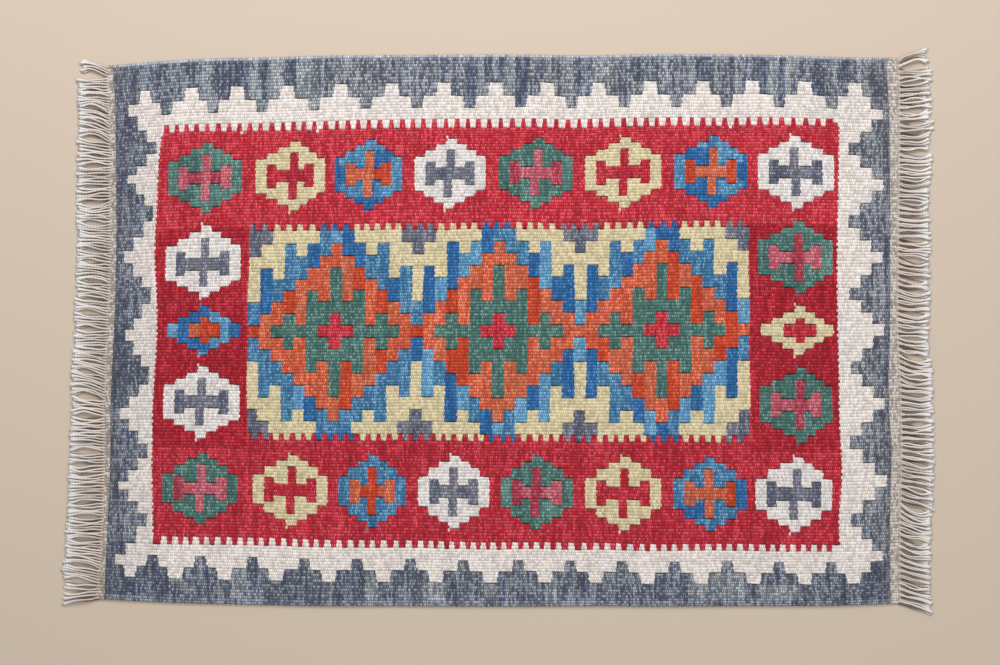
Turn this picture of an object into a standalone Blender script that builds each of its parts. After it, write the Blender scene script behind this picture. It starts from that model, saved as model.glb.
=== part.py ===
"""A flat-woven kilim rug lying flat, with an undyed web end and a warp fringe at each end.

+X runs along the rug, +Y across it to its far side and +Z up. The origin is the middle of the
underside. Sizes and tables are in millimetres, and the model is built in metres.
"""
import math
from bisect import bisect_right

import bmesh
import bpy
from mathutils import Vector

MM = 0.001

# Cloth and ends are worked out in the same panels across the rug, so their lines stay parallel.
PANELS = 14

# The cloth: wool wefts beaten down over cotton warps, so each warp shows as a rib along the rug.
CLOTH_THICKNESS = 3.0
RIB_DEPTH = 0.7
SELVEDGE_THICKNESS = 2.2
RIBS_PER_PANEL = 13
RIB_FADE = 4.0
COLUMN_PLACES = (-390.0, -290.0, -120.0, 175.0, 345.0)

# The ends: a narrow undyed web, parted from the cloth, that holds the roots of the fringe.
WEB_THICKNESS = 2.4
PARTING = 0.3
STRANDS_PER_PANEL = 9
ROOT_FILL = 0.46
STRAND_STEPS = 3
WAIST_WIDTH, WAIST_HEIGHT = 0.88, 0.94
TIP_WIDTH, TIP_HEIGHT = 0.74, 0.60
REACH_WANDER = 1.2
REACH_RHYTHM = 2.4

# The long sides bow a little: place along the rug, then the near and the far side there.
SIDE_COLUMNS = ("along", "near", "far")
SIDES = (
    (-460.0, -304.0, 309.0),
    (-400.0, -307.0, 314.0),
    (-345.0, -309.0, 317.5),
    (-275.0, -310.5, 319.0),
    (-205.0, -312.0, 321.0),
    (-115.0, -312.0, 322.0),
    (0.0, -312.5, 322.5),
    (115.0, -312.0, 321.5),
    (175.0, -312.5, 323.0),
    (280.0, -312.0, 322.5),
    (345.0, -312.0, 321.0),
    (405.0, -311.0, 319.0),
    (460.0, -308.5, 318.5),
)

# The ends wander: place across the rug, then where the web and the fringe begin at each end.
END_COLUMNS = ("across", "left_root", "left_cloth", "right_cloth", "right_root")
ENDS = (
    (-312.0, -459.5, -450.5, 444.0, 456.0),
    (-260.0, -456.5, -449.0, 444.0, 456.0),
    (-192.0, -454.0, -446.5, 445.5, 458.0),
    (-135.0, -453.5, -445.5, 447.5, 460.0),
    (-89.0, -454.5, -446.0, 445.5, 459.5),
    (-49.0, -453.5, -445.0, 445.5, 459.0),
    (0.0, -452.0, -443.0, 447.5, 457.0),
    (78.0, -449.5, -441.5, 448.5, 458.5),
    (141.0, -450.5, -442.0, 449.5, 460.0),
    (199.0, -451.0, -443.0, 450.0, 461.5),
    (258.0, -453.0, -444.5, 449.5, 462.5),
    (298.0, -455.5, -447.5, 448.0, 462.5),
    (324.0, -455.0, -447.5, 447.5, 462.0),
)

# The fringe lies in locks, listed from the far side. A lock holds the strands rooted above
# root_end. Its tips spread from tip_far to tip_near, reach is its length, and bow its sideways
# swell.
LOCK_COLUMNS = ("root_end", "tip_far", "tip_near", "reach", "bow")
LEFT_LOCKS = (
    (295.0, 315.0, 304.0, 30.0, 0.0),
    (273.0, 293.0, 277.0, 34.0, 0.0),
    (254.0, 273.0, 264.0, 35.0, 0.0),
    (236.0, 259.0, 249.0, 35.0, 0.0),
    (218.0, 244.0, 229.0, 35.0, 0.0),
    (191.0, 222.0, 194.0, 37.0, 0.0),
    (168.0, 189.0, 169.0, 37.0, 0.0),
    (151.0, 165.0, 152.0, 37.0, 0.0),
    (125.0, 146.0, 131.0, 37.0, -1.2),
    (92.0, 125.0, 98.0, 37.0, -1.2),
    (80.0, 93.0, 85.0, 37.0, 0.0),
    (56.0, 81.0, 64.0, 37.0, 0.0),
    (35.0, 59.0, 41.0, 37.0, 0.0),
    (20.0, 36.0, 27.0, 37.0, 0.0),
    (2.0, 21.0, 7.0, 37.0, 0.0),
    (-19.0, 1.0, -16.0, 37.0, 0.0),
    (-36.0, -19.0, -29.0, 37.0, 0.0),
    (-51.0, -33.0, -41.0, 38.0, 0.0),
    (-79.0, -45.0, -68.0, 38.0, 0.0),
    (-97.0, -76.0, -91.0, 37.0, 0.0),
    (-136.0, -98.0, -132.0, 38.0, 0.0),
    (-152.0, -140.0, -149.0, 39.0, 0.0),
    (-193.0, -154.0, -192.0, 40.0, 0.0),
    (-210.0, -197.0, -207.0, 40.0, 0.0),
    (-236.0, -213.0, -233.0, 40.0, 0.0),
    (-272.0, -238.0, -262.0, 40.0, 0.0),
    (-286.0, -267.0, -278.0, 41.0, 0.0),
    (-315.0, -286.0, -309.0, 38.0, 0.0),
)
RIGHT_LOCKS = (
    (306.0, 327.0, 314.0, 33.0, 0.0),
    (288.0, 304.0, 293.0, 37.0, 0.0),
    (267.0, 288.0, 273.0, 34.0, -1.7),
    (257.0, 268.0, 261.0, 36.0, -1.2),
    (243.0, 257.0, 249.0, 35.0, -3.5),
    (232.0, 244.0, 238.0, 38.0, -3.5),
    (210.0, 233.0, 213.0, 35.0, -3.0),
    (193.0, 206.0, 196.0, 38.0, -3.0),
    (178.0, 190.0, 181.0, 36.0, -2.4),
    (151.0, 175.0, 152.0, 35.0, -0.8),
    (132.0, 149.0, 135.0, 34.0, -2.3),
    (109.0, 129.0, 110.0, 36.0, 0.0),
    (88.0, 105.0, 88.0, 36.0, -1.2),
    (65.0, 81.0, 63.0, 36.0, -1.2),
    (52.0, 57.0, 50.0, 36.0, -1.2),
    (24.0, 45.0, 24.0, 37.0, -1.2),
    (-5.0, 19.0, -5.0, 36.0, -1.2),
    (-22.0, -11.0, -28.0, 35.0, 0.0),
    (-47.0, -33.0, -50.0, 37.0, -1.1),
    (-69.0, -55.0, -69.0, 37.0, -1.1),
    (-104.0, -73.0, -102.0, 36.0, -0.6),
    (-124.0, -106.0, -124.0, 36.0, -0.4),
    (-146.0, -129.0, -151.0, 37.0, 1.1),
    (-176.0, -155.0, -180.0, 36.0, 1.1),
    (-195.0, -186.0, -205.0, 37.0, 2.3),
    (-233.0, -209.0, -237.0, 35.0, 0.0),
    (-280.0, -242.0, -285.0, 34.0, 0.0),
    (-315.0, -291.0, -319.0, 35.0, 2.3),
)

# Colours as linear values, with roughness.
CLOTH_FINISH = ((0.42, 0.025, 0.045, 1.0), 0.95)
COTTON_FINISH = ((0.71, 0.66, 0.58, 1.0), 0.90)


def read(rows, columns, name, place):
    """Read a named column at a place between rows, on a smooth curve through the rows."""
    places = [row[0] for row in rows]
    values = [row[columns.index(name)] for row in rows]
    last = len(rows) - 1

    def slope(k):
        before, after = max(k - 1, 0), min(k + 1, last)
        return (values[after] - values[before]) / (places[after] - places[before])

    k = min(max(bisect_right(places, place) - 1, 0), last - 1)
    span = places[k + 1] - places[k]
    t = (place - places[k]) / span
    start = (2 * t**3 - 3 * t**2 + 1) * values[k] + (t**3 - 2 * t**2 + t) * span * slope(k)
    end = (3 * t**2 - 2 * t**3) * values[k + 1] + (t**3 - t**2) * span * slope(k + 1)
    return start + end


def across_at(along, share):
    """Place across the rug, from its near side (share 0) to its far side (share 1)."""
    near = read(SIDES, SIDE_COLUMNS, "near", along)
    far = read(SIDES, SIDE_COLUMNS, "far", along)
    return near + (far - near) * share


def end_point(column, share, inward=0.0):
    """Point on one of the lines that wander across an end, moved along the rug by inward."""
    across = across_at(ENDS[0][END_COLUMNS.index(column)], share)
    return Vector((read(ENDS, END_COLUMNS, column, across) + inward, across))


def on_panels(line, share):
    """Point on a line that runs straight between the borders of the panels."""
    panel = min(int(share * PANELS), PANELS - 1)
    start, end = line(panel / PANELS), line((panel + 1) / PANELS)
    return start.lerp(end, share * PANELS - panel)


def unit_slab(columns):
    """Slab of 1 by 1 by 1, cut into columns along X and panels along Y, as a bmesh."""
    slab = bmesh.new()
    bmesh.ops.create_grid(slab, x_segments=columns, y_segments=PANELS, size=0.5)
    top = bmesh.ops.extrude_face_region(slab, geom=slab.faces[:])["geom"]
    raised = [item for item in top if isinstance(item, bmesh.types.BMVert)]
    bmesh.ops.translate(slab, verts=raised, vec=(0.0, 0.0, 1.0))
    return slab


def runs_across(edge):
    """True for an edge of the unit slab that runs along Y."""
    first, second = (vert.co for vert in edge.verts)
    return abs(first.y - second.y) > abs(first.x - second.x) + abs(first.z - second.z)


def finish(name, colour, roughness):
    """Plain fibre material."""
    material = bpy.data.materials.new(name)
    material.use_nodes = True
    shader = material.node_tree.nodes["Principled BSDF"]
    shader.inputs["Base Color"].default_value = colour
    shader.inputs["Roughness"].default_value = roughness
    shader.inputs["Metallic"].default_value = 0.0
    return material


def add_object(name, shape, look, collection):
    """Turn a bmesh in millimetres into a named object in metres."""
    bmesh.ops.scale(shape, vec=(MM, MM, MM), verts=shape.verts)
    bmesh.ops.recalc_face_normals(shape, faces=shape.faces)
    mesh = bpy.data.meshes.new(name)
    shape.to_mesh(mesh)
    shape.free()
    mesh.materials.append(finish(name, *look))
    item = bpy.data.objects.new(name, mesh)
    collection.objects.link(item)


def cloth_lines():
    """Lines across the cloth that its columns start and end on, from left to right."""
    def fixed(along):
        return lambda share: Vector((along, across_at(along, share)))

    return (
        lambda share: end_point("left_cloth", share),
        lambda share: end_point("left_cloth", share, RIB_FADE),
        *(fixed(along) for along in COLUMN_PLACES),
        lambda share: end_point("right_cloth", share, -RIB_FADE),
        lambda share: end_point("right_cloth", share),
    )


def rib_height(row, rows):
    """Height of the cloth's top on a row: a selvedge, a furrow or a crest."""
    if row in (0, rows):
        return SELVEDGE_THICKNESS
    return CLOTH_THICKNESS if row % 2 else CLOTH_THICKNESS - RIB_DEPTH


def build_cloth(collection):
    """The woven cloth: ribbed on top, flat underneath, as uneven round its edge as it lies."""
    lines = cloth_lines()
    columns = len(lines) - 1
    rows = PANELS * RIBS_PER_PANEL * 2
    shape = unit_slab(columns)
    top_rows = [edge for edge in shape.edges
                if runs_across(edge) and edge.verts[0].co.z > 0.5]
    bmesh.ops.subdivide_edges(shape, edges=top_rows, cuts=RIBS_PER_PANEL * 2 - 1)
    for vert in shape.verts:
        column = round((vert.co.x + 0.5) * columns)
        share = vert.co.y + 0.5
        height = 0.0
        if vert.co.z > 0.5:
            at_end = column in (0, columns)
            height = WEB_THICKNESS if at_end else rib_height(round(share * rows), rows)
        place = on_panels(lines[column], share)
        vert.co = (place.x, place.y, height)
    add_object("cloth", shape, CLOTH_FINISH, collection)


def root_share(step):
    """Place in a web panel, from 0 to 1, of a step between roots and the gaps beside them."""
    steps = 2 * STRANDS_PER_PANEL + 1
    if step in (0, steps):
        return step / steps
    strand, edge = divmod(step - 1, 2)
    return (strand + 0.5 + (edge - 0.5) * ROOT_FILL) / STRANDS_PER_PANEL


def split_into_locks(roots, locks):
    """Give each root, listed from the far side, its lock and its place in it from 0 to 1."""
    placed = []
    start = 0
    for lock in locks:
        values = dict(zip(LOCK_COLUMNS, lock))
        end = start
        while end < len(roots) and roots[end] > values["root_end"]:
            end += 1
        count = end - start
        placed += [(values, 0.5 if count == 1 else k / (count - 1)) for k in range(count)]
        start = end
    return placed


def strand_offset(number, root, lock, place, progress):
    """How far along and across a strand has come from its root at a progress from 0 to 1."""
    tip = lock["tip_far"] + (lock["tip_near"] - lock["tip_far"]) * place
    lean = 0.5 * progress + 0.5 * progress**2 * (3 - 2 * progress)
    swell = 4 * progress * (1 - progress) * lock["bow"]
    reach = lock["reach"] + REACH_WANDER * math.sin(REACH_RHYTHM * number)
    return reach * progress, (tip - root) * lean + swell


def grow_strands(shape, roots, locks, outward):
    """Draw each root face out into a strand that lies level and keeps to its lock."""
    roots = sorted(roots, key=lambda face: -face.calc_center_median().y)
    centres = [face.calc_center_median() for face in roots]
    corners = [[vert.co.copy() for vert in face.verts] for face in roots]
    placed = split_into_locks([centre.y for centre in centres], locks)
    for step in range(1, STRAND_STEPS + 1):
        drawn = bmesh.ops.extrude_discrete_faces(shape, faces=roots)["faces"]
        roots = sorted(drawn, key=lambda face: -face.calc_center_median().y)
        at_tip = step == STRAND_STEPS
        width = TIP_WIDTH if at_tip else WAIST_WIDTH
        height = TIP_HEIGHT if at_tip else WAIST_HEIGHT
        for number, face in enumerate(roots):
            centre = centres[number]
            reach, lean = strand_offset(number, centre.y, *placed[number], step / STRAND_STEPS)
            for vert, corner in zip(face.verts, corners[number]):
                vert.co.x = corner.x + outward * reach
                vert.co.y = centre.y + lean + (corner.y - centre.y) * width
                vert.co.z = corner.z * height


def build_fringe(side, outward, locks, collection):
    """One end's undyed web with its warps let out as a fringe."""
    steps = 2 * STRANDS_PER_PANEL + 1
    lines = (
        lambda share: end_point(f"{side}_cloth", share, outward * PARTING),
        lambda share: end_point(f"{side}_root", share),
    )
    shape = unit_slab(1)
    outer_edges = [edge for edge in shape.edges if runs_across(edge) and edge.verts[0].co.x > 0]
    bmesh.ops.subdivide_edges(shape, edges=outer_edges, cuts=steps - 1)
    roots = []
    for face in shape.faces:
        centre = face.calc_center_median()
        if centre.x > 0.49 and int((centre.y + 0.5) * PANELS * steps) % steps % 2:
            roots.append(face)
    for vert in shape.verts:
        row = round((vert.co.y + 0.5) * PANELS * steps)
        panel, step = divmod(row, steps)
        share = (panel + root_share(step)) / PANELS
        place = on_panels(lines[vert.co.x > 0], share)
        vert.co = (place.x, place.y, WEB_THICKNESS if vert.co.z > 0.5 else 0.0)
    grow_strands(shape, roots, locks, outward)
    add_object(f"fringe_{side}", shape, COTTON_FINISH, collection)


def main():
    for item in list(bpy.data.objects):
        bpy.data.objects.remove(item, do_unlink=True)
    collection = bpy.data.collections.new("kilim_rug")
    bpy.context.scene.collection.children.link(collection)
    build_cloth(collection)
    build_fringe("left", -1.0, LEFT_LOCKS, collection)
    build_fringe("right", 1.0, RIGHT_LOCKS, collection)


main()
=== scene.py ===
# %% [markdown]
# # A kilim rug, woven rib by rib
#
# A kilim has no pile. Dyed wool wefts run across the rug, over one warp and under the next, and
# they are beaten down until the cotton warps vanish. What shows is a row of ribs, one for each
# warp, and the pattern is nothing but which wool covers which stretch of which rib. So this
# lesson first writes the pattern as runs of wool on ribs, then cuts a ribbed sheet along those
# runs, and only then lays the sheet out in its real, slightly crooked outline.
#
# +X runs along the rug, +Y across it to its far side, and +Z is up. Tables are in millimetres.

import math
import random
from bisect import bisect_left, bisect_right
from collections import namedtuple

import bmesh
import bpy
from mathutils import Matrix, Vector, noise


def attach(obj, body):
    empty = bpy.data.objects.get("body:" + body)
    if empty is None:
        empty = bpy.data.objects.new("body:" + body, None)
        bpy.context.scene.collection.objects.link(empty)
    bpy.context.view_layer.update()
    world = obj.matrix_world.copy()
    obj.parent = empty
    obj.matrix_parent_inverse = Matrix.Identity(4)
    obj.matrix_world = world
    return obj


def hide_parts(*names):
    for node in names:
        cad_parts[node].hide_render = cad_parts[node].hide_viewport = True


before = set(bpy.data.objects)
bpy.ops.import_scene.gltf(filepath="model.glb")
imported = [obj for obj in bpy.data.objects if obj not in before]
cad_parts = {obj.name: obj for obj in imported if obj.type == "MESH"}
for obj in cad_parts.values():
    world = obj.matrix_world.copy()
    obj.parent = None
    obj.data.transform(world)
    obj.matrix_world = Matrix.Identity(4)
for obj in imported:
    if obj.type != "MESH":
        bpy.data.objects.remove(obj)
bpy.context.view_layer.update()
MM = 0.001
print("nodes:", sorted(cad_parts))

# %% [markdown]
# ## The outline
#
# A hand-woven rug is never square. Its long sides bow out and its ends wander, so the outline is
# kept in two short tables of places, and a smooth curve is read through them. The numbers are
# the same as in the construction model, which keeps the woven sheet on top of its solids.

# %% Outline tables
# Place along the rug, then the near and the far side there.
SIDES = (
    (-460.0, -304.0, 309.0),
    (-400.0, -307.0, 314.0),
    (-345.0, -309.0, 317.5),
    (-275.0, -310.5, 319.0),
    (-205.0, -312.0, 321.0),
    (-115.0, -312.0, 322.0),
    (0.0, -312.5, 322.5),
    (115.0, -312.0, 321.5),
    (175.0, -312.5, 323.0),
    (280.0, -312.0, 322.5),
    (345.0, -312.0, 321.0),
    (405.0, -311.0, 319.0),
    (460.0, -308.5, 318.5),
)
NEAR, FAR = 1, 2
# Place across the rug, then where the web and the fringe begin at each end.
ENDS = (
    (-312.0, -459.5, -450.5, 444.0, 456.0),
    (-260.0, -456.5, -449.0, 444.0, 456.0),
    (-192.0, -454.0, -446.5, 445.5, 458.0),
    (-135.0, -453.5, -445.5, 447.5, 460.0),
    (-89.0, -454.5, -446.0, 445.5, 459.5),
    (-49.0, -453.5, -445.0, 445.5, 459.0),
    (0.0, -452.0, -443.0, 447.5, 457.0),
    (78.0, -449.5, -441.5, 448.5, 458.5),
    (141.0, -450.5, -442.0, 449.5, 460.0),
    (199.0, -451.0, -443.0, 450.0, 461.5),
    (258.0, -453.0, -444.5, 449.5, 462.5),
    (298.0, -455.5, -447.5, 448.0, 462.5),
    (324.0, -455.0, -447.5, 447.5, 462.0),
)
LEFT_ROOT, LEFT_CLOTH, RIGHT_CLOTH, RIGHT_ROOT = 1, 2, 3, 4
print(len(SIDES), "places along the sides,", len(ENDS), "across the ends")

# %% [markdown]
# Straight lines between the rows of a table would leave corners in the cloth. A curve that
# takes its slope at each row from the rows on both sides of it passes through smoothly.

# %% Read the outline
def read(rows, column, place):
    """Read a column at a place between rows, on a smooth curve through the rows."""
    last = len(rows) - 1
    k = min(max(bisect_right([row[0] for row in rows], place) - 1, 0), last - 1)

    def slope(j):
        before, after = rows[max(j - 1, 0)], rows[min(j + 1, last)]
        return (after[column] - before[column]) / (after[0] - before[0])

    (x0, y0), (x1, y1) = ((rows[j][0], rows[j][column]) for j in (k, k + 1))
    span = x1 - x0
    t = (place - x0) / span
    start = (2 * t**3 - 3 * t**2 + 1) * y0 + (t**3 - 2 * t**2 + t) * span * slope(k)
    end = (3 * t**2 - 2 * t**3) * y1 + (t**3 - t**2) * span * slope(k + 1)
    return start + end


def across_at(along, share):
    """Place across the rug, from its near side (share 0) to its far side (share 1)."""
    near, far = read(SIDES, NEAR, along), read(SIDES, FAR, along)
    return near + (far - near) * share


def end_line(column, share):
    """Point on one of the lines that wander across an end."""
    across = across_at(ENDS[0][column], share)
    return read(ENDS, column, across), across


print("cloth at the middle:", end_line(RIGHT_CLOTH, 0.5)[0] - end_line(LEFT_CLOTH, 0.5)[0], "mm")

# %% [markdown]
# ## The wools
#
# Hand-spun wool takes dye unevenly: each yarn carries paler and darker hairs, and a fresh batch
# gives a slightly different shade. So each wool here is a pair of colours, with the share of
# beads that show the second one, and how strongly its shade drifts from pick to pick. The
# numbers were set, and then corrected until a plain stretch of each main wool had about
# the same average colour as on the real rug.

# %% Wool colours
# Main colour and second colour (display values), share of the second, drift. The second colour
# goes mostly on the tops of beads, so for the dark wools it is also a painted highlight.
WOOLS = {
    "border": ((85, 92, 109), (182, 185, 188), 0.52, 0.98),
    "navy": ((74, 80, 101), (152, 158, 171), 0.47, 0.94),
    "dusk": ((78, 85, 104), (170, 175, 182), 0.48, 0.98),
    "fog": ((110, 117, 129), (192, 196, 196), 0.52, 0.95),
    "selvedge": ((160, 165, 176), (214, 218, 226), 0.50, 0.80),
    "hem": ((92, 99, 118), (170, 179, 191), 0.50, 0.98),
    "ivory": ((238, 229, 222), (222, 209, 198), 0.28, 0.24),
    "cream": ((230, 221, 215), (212, 199, 189), 0.30, 0.24),
    "red": ((180, 30, 48), (226, 88, 101), 0.42, 0.70),
    "scarlet": ((188, 33, 49), (234, 94, 106), 0.45, 0.70),
    "madder": ((165, 19, 36), (208, 67, 82), 0.42, 0.70),
    "green": ((64, 108, 100), (136, 168, 160), 0.38, 0.68),
    "teal": ((82, 126, 116), (140, 174, 164), 0.40, 0.64),
    "rose": ((188, 82, 100), (228, 150, 158), 0.42, 0.55),
    "wine": ((164, 50, 70), (212, 110, 124), 0.40, 0.60),
    "straw": ((226, 212, 172), (200, 182, 140), 0.35, 0.30),
    "blue": ((36, 97, 155), (88, 142, 190), 0.38, 0.62),
    "azure": ((56, 114, 159), (130, 178, 205), 0.45, 0.70),
    "pool": ((70, 131, 176), (142, 188, 213), 0.44, 0.66),
    "sky": ((88, 148, 190), (154, 198, 220), 0.42, 0.62),
    "rust": ((196, 62, 34), (228, 114, 80), 0.36, 0.64),
    "coral": ((208, 84, 54), (242, 153, 119), 0.42, 0.68),
    "apricot": ((200, 92, 62), (233, 148, 116), 0.42, 0.64),
    "white": ((234, 227, 222), (214, 205, 199), 0.25, 0.20),
    "slate": ((86, 90, 110), (160, 163, 172), 0.40, 0.60),
    "grey": ((108, 110, 126), (174, 174, 182), 0.42, 0.60),
}


def linear(colour):
    """Display values from 0 to 255 as the linear values that shaders work in."""
    shares = [value / 255 for value in colour]
    return [s / 12.92 if s <= 0.04045 else ((s + 0.055) / 1.055) ** 2.4 for s in shares]


print(len(WOOLS), "wools")

# %% [markdown]
# ## The pattern as runs on ribs
#
# A weaver keeps the pattern as a count of warps and a length of wool, and so does this list: for
# each rib, from the far side, the runs of wool that cover it from left to right. Everything
# starts as border wool. Each motif is then laid over what is there, the way a child builds a
# picture from paper strips, and the order takes care of what shows.

# %% Lay wool on ribs
RIBS = 182
LEFT_EDGE, RIGHT_EDGE = -446.0, 447.0
runs = [[(LEFT_EDGE, RIGHT_EDGE, "border")] for rib in range(RIBS)]


def lay(first, end, left, right, wool):
    """Cover a stretch of ribs first to end - 1 with a wool."""
    for rib in range(first, end):
        kept = []
        for start, stop, old in runs[rib]:
            if start < left:
                kept.append((start, min(stop, left), old))
            if stop > right:
                kept.append((max(start, right), stop, old))
        runs[rib] = sorted(kept + [(left, right, wool)])


def overdye(first, end, left, right, wool, new):
    """Swap one wool for another inside a stretch, as where a new batch was taken up."""
    for rib in range(first, end):
        kept = []
        for start, stop, old in runs[rib]:
            a, b = max(start, left), min(stop, right)
            if old != wool or a >= b:
                kept.append((start, stop, old))
                continue
            kept += [run for run in ((start, a, old), (a, b, new), (b, stop, old))
                     if run[1] > run[0]]
        runs[rib] = kept


print(RIBS, "ribs, all of border wool so far")

# %% [markdown]
# ## Border: a stepped line with cream inside
#
# At the left and right the border meets the cream in steps of four warps: out to a tip, in to a
# valley. Only tips and valleys are listed, with how far each lies in from the end of the cloth,
# and the two steps between them are shared out evenly, as a weaver would count them.

# %% Stepped sides
CREAM_START, CREAM_END = 13, 170
# First rib, rib after the last, inset from the end of the cloth.
LEFT_TURNS = (
    (13, 17, 14.7), (26, 30, 46.4), (37, 40, 12.7), (48, 53, 42.0), (62, 66, 9.2),
    (75, 81, 40.5), (90, 94, 13.2), (103, 109, 42.5), (117, 121, 10.5), (129, 134, 42.4),
    (142, 145, 10.3), (153, 157, 44.5), (166, 170, 10.3),
)
RIGHT_TURNS = (
    (13, 17, 20.9), (17, 21, 7.0), (29, 33, 47.5), (41, 45, 8.0), (53, 57, 48.0),
    (65, 69, 8.5), (77, 81, 46.5), (89, 93, 6.5), (101, 105, 43.5), (113, 117, 5.0),
    (125, 129, 47.0), (138, 142, 4.5), (150, 154, 44.5), (162, 166, 7.5), (166, 170, 21.7),
)


def stepped(turns):
    """Inset of each rib: level at each turn, with two even steps from one turn to the next."""
    insets = {}
    for (start, end, inset), following in zip(turns, turns[1:] + (turns[-1],)):
        for rib in range(start, end):
            insets[rib] = inset
        between = following[0] - end
        for rib in range(end, following[0]):
            step = 1 if rib - end < between / 2 else 2
            insets[rib] = inset + (following[2] - inset) * step / 3
    return insets


left_steps, right_steps = stepped(LEFT_TURNS), stepped(RIGHT_TURNS)
for rib in range(CREAM_START, CREAM_END):
    lay(rib, rib + 1, LEFT_EDGE + left_steps[rib], RIGHT_EDGE - right_steps[rib], "ivory")
overdye(CREAM_START, CREAM_END, LEFT_EDGE, -391.0, "ivory", "cream")
print("cream ribs:", CREAM_END - CREAM_START)

# %% [markdown]
# Along the far and near sides the same border has battlements: a cream merlon with a narrow tip
# and a notch of border wool between each two. Their places drift from an even beat, so both
# rows are listed.

# %% Battlements
FAR_TIPS = (-411, -357, -304, -246, -184, -125, -65, -5, 55, 114, 174, 235, 292, 352, 409)
FAR_NOTCHES = (-387, -332, -275, -215, -155, -96, -35, 24, 83, 144, 204, 262, 323, 382)
NEAR_TIPS = (-418, -368, -314, -255, -195, -133, -73, -11, 51, 109, 168, 229, 289, 348, 406)
NEAR_NOTCHES = (-393, -341, -282, -223, -163, -102, -42, 21, 80, 139, 199, 259, 318, 380)
CORNER_TIPS = (-411, -418)
CORNER_NARROWER = 1.6


def merlons(first, end, places, start_half, end_half, wool):
    """A row of blocks whose sides lean by a hair on every rib, from one half width to another."""
    for place in places:
        for rib in range(first, end):
            half = start_half + (end_half - start_half) * (rib - first) / (end - first - 1)
            if place in CORNER_TIPS:
                half -= CORNER_NARROWER
            lay(rib, rib + 1, place - half, place + half, wool)


merlons(9, 13, FAR_TIPS, 7.0, 8.6, "ivory")
merlons(13, 17, FAR_NOTCHES, 7.5, 6.2, "border")
merlons(170, 174, NEAR_TIPS, 8.8, 7.1, "ivory")
merlons(166, 170, NEAR_NOTCHES, 5.7, 7.6, "border")
lay(0, 1, LEFT_EDGE, RIGHT_EDGE, "selvedge")
lay(RIBS - 2, RIBS, LEFT_EDGE, RIGHT_EDGE, "hem")
print(len(FAR_TIPS) + len(NEAR_TIPS), "merlon tips")

# %% [markdown]
# The border was woven from many small batches. A few picks of a darker or a paler one make an
# upright bar wherever a new length was taken up, so the clearest bars are listed.

# %% Batches of border wool
# First rib, rib after the last, left, right.
NAVY = (
    (1, 13, -315, -291), (1, 13, -276, -266), (1, 9, -248, -236), (1, 13, -211, -207),
    (1, 13, -203, -199), (1, 13, -117, -113), (1, 9, -68, -62), (1, 13, -56, -51),
    (3, 17, -40, -27), (1, 9, -18, -9), (1, 9, -4, 4), (1, 17, 18, 32), (1, 13, 89, 95),
    (1, 13, 99, 104), (1, 9, 154, 163), (1, 9, 174, 182), (1, 9, 227, 242), (1, 13, 267, 271),
    (1, 13, 297, 310), (1, 17, 323, 330), (1, 13, 360, 368), (1, 13, 394, 403),
    (60, 110, 441, 447), (14, 45, -446, -428), (70, 118, -446, -430),
    (162, 180, -446, -413), (168, 180, -413, -376), (166, 180, -339, -333),
    (166, 177, -283, -276), (170, 180, -247, -239), (170, 180, -185, -170),
    (166, 180, -168, -154), (174, 180, -137, -130), (170, 180, -124, -116),
    (170, 180, -62, -50), (170, 180, 0, 8), (170, 180, 91, 102), (171, 180, 176, 191),
    (170, 180, 205, 213), (174, 180, 280, 295), (170, 180, 391, 397), (166, 180, 412, 447),
)
FOG = (
    (1, 13, -266, -254), (3, 17, -236, -213), (1, 13, -25, -18), (1, 13, 5, 17),
    (1, 9, 107, 130), (13, 17, 137, 153), (1, 17, 311, 323), (1, 9, 331, 344),
    (13, 17, 375, 392), (170, 180, -305, -291), (171, 180, -154, -138), (174, 180, -85, -63),
    (174, 180, -18, -4), (170, 180, 51, 64), (170, 180, 214, 278), (174, 180, 296, 345),
)
DUSK = ((1, 21, -446, -345), (1, 13, -332, -316), (21, 170, -446, -395), (170, 180, -446, 420))
for wool, batches in (("navy", NAVY), ("fog", FOG), ("dusk", DUSK)):
    for first, end, left, right in batches:
        overdye(first, end, left, right, "border", wool)
print(len(NAVY) + len(DUSK) + len(FOG), "bars of another batch")

# %% [markdown]
# ## The red field
#
# The red begins and ends with a comb of short teeth, which locks it to the cream with no long
# slit between them. Its two upright edges lean a little, so they are read from a table.

# %% Red field
RED_START, RED_END = 23, 160
LEFT_RED = ((23, 53.0), (32, 49.0), (48, 46.5), (62, 44.0), (76, 47.0), (90, 49.2),
            (110, 48.6), (135, 47.5), (150, 50.0), (160, 52.0))
RIGHT_RED = ((23, 57.7), (45, 59.5), (57, 60.3), (68, 60.4), (90, 59.8), (107, 56.8),
             (125, 57.5), (140, 56.0), (150, 58.3), (160, 57.0))
BULGE = 0.3
for rib in range(RED_START, RED_END):
    bulge = BULGE if rib % 2 else -BULGE
    lay(rib, rib + 1, LEFT_EDGE + read(LEFT_RED, 1, rib) + bulge,
        RIGHT_EDGE - read(RIGHT_RED, 1, rib) + bulge, "red")
print("red ribs:", RED_END - RED_START)

# %% [markdown]
# A comb is a row of short teeth, each a few picks wide: red ones in the cream on the far side,
# cream ones in the red on the near side. Each tooth is narrower at its tip than at its foot.

# %% Combs along the red
# Number of a tooth and its place; the beat of the teeth changes slowly between these.
FAR_COMB = ((0, -388.0), (15, -201.3), (30, -11.8), (45, 181.9), (59, 365.5))
NEAR_COMB = ((0, -381.7), (4, -334.0), (8, -284.4), (15, -196.4), (20, -132.0), (23, -91.0),
             (28, -31.0), (33, 29.0), (36, 67.4), (40, 122.8), (50, 249.5), (60, 371.0))
# Gaps of the far comb that run on over one more warp.
LONG_GAPS = (-299.0, -211.0, 266.0)
LONG_GAP_WIDTH = 3.0
TOOTH_SWAY, TOOTH_SLIP = 0.6, 0.4


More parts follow.
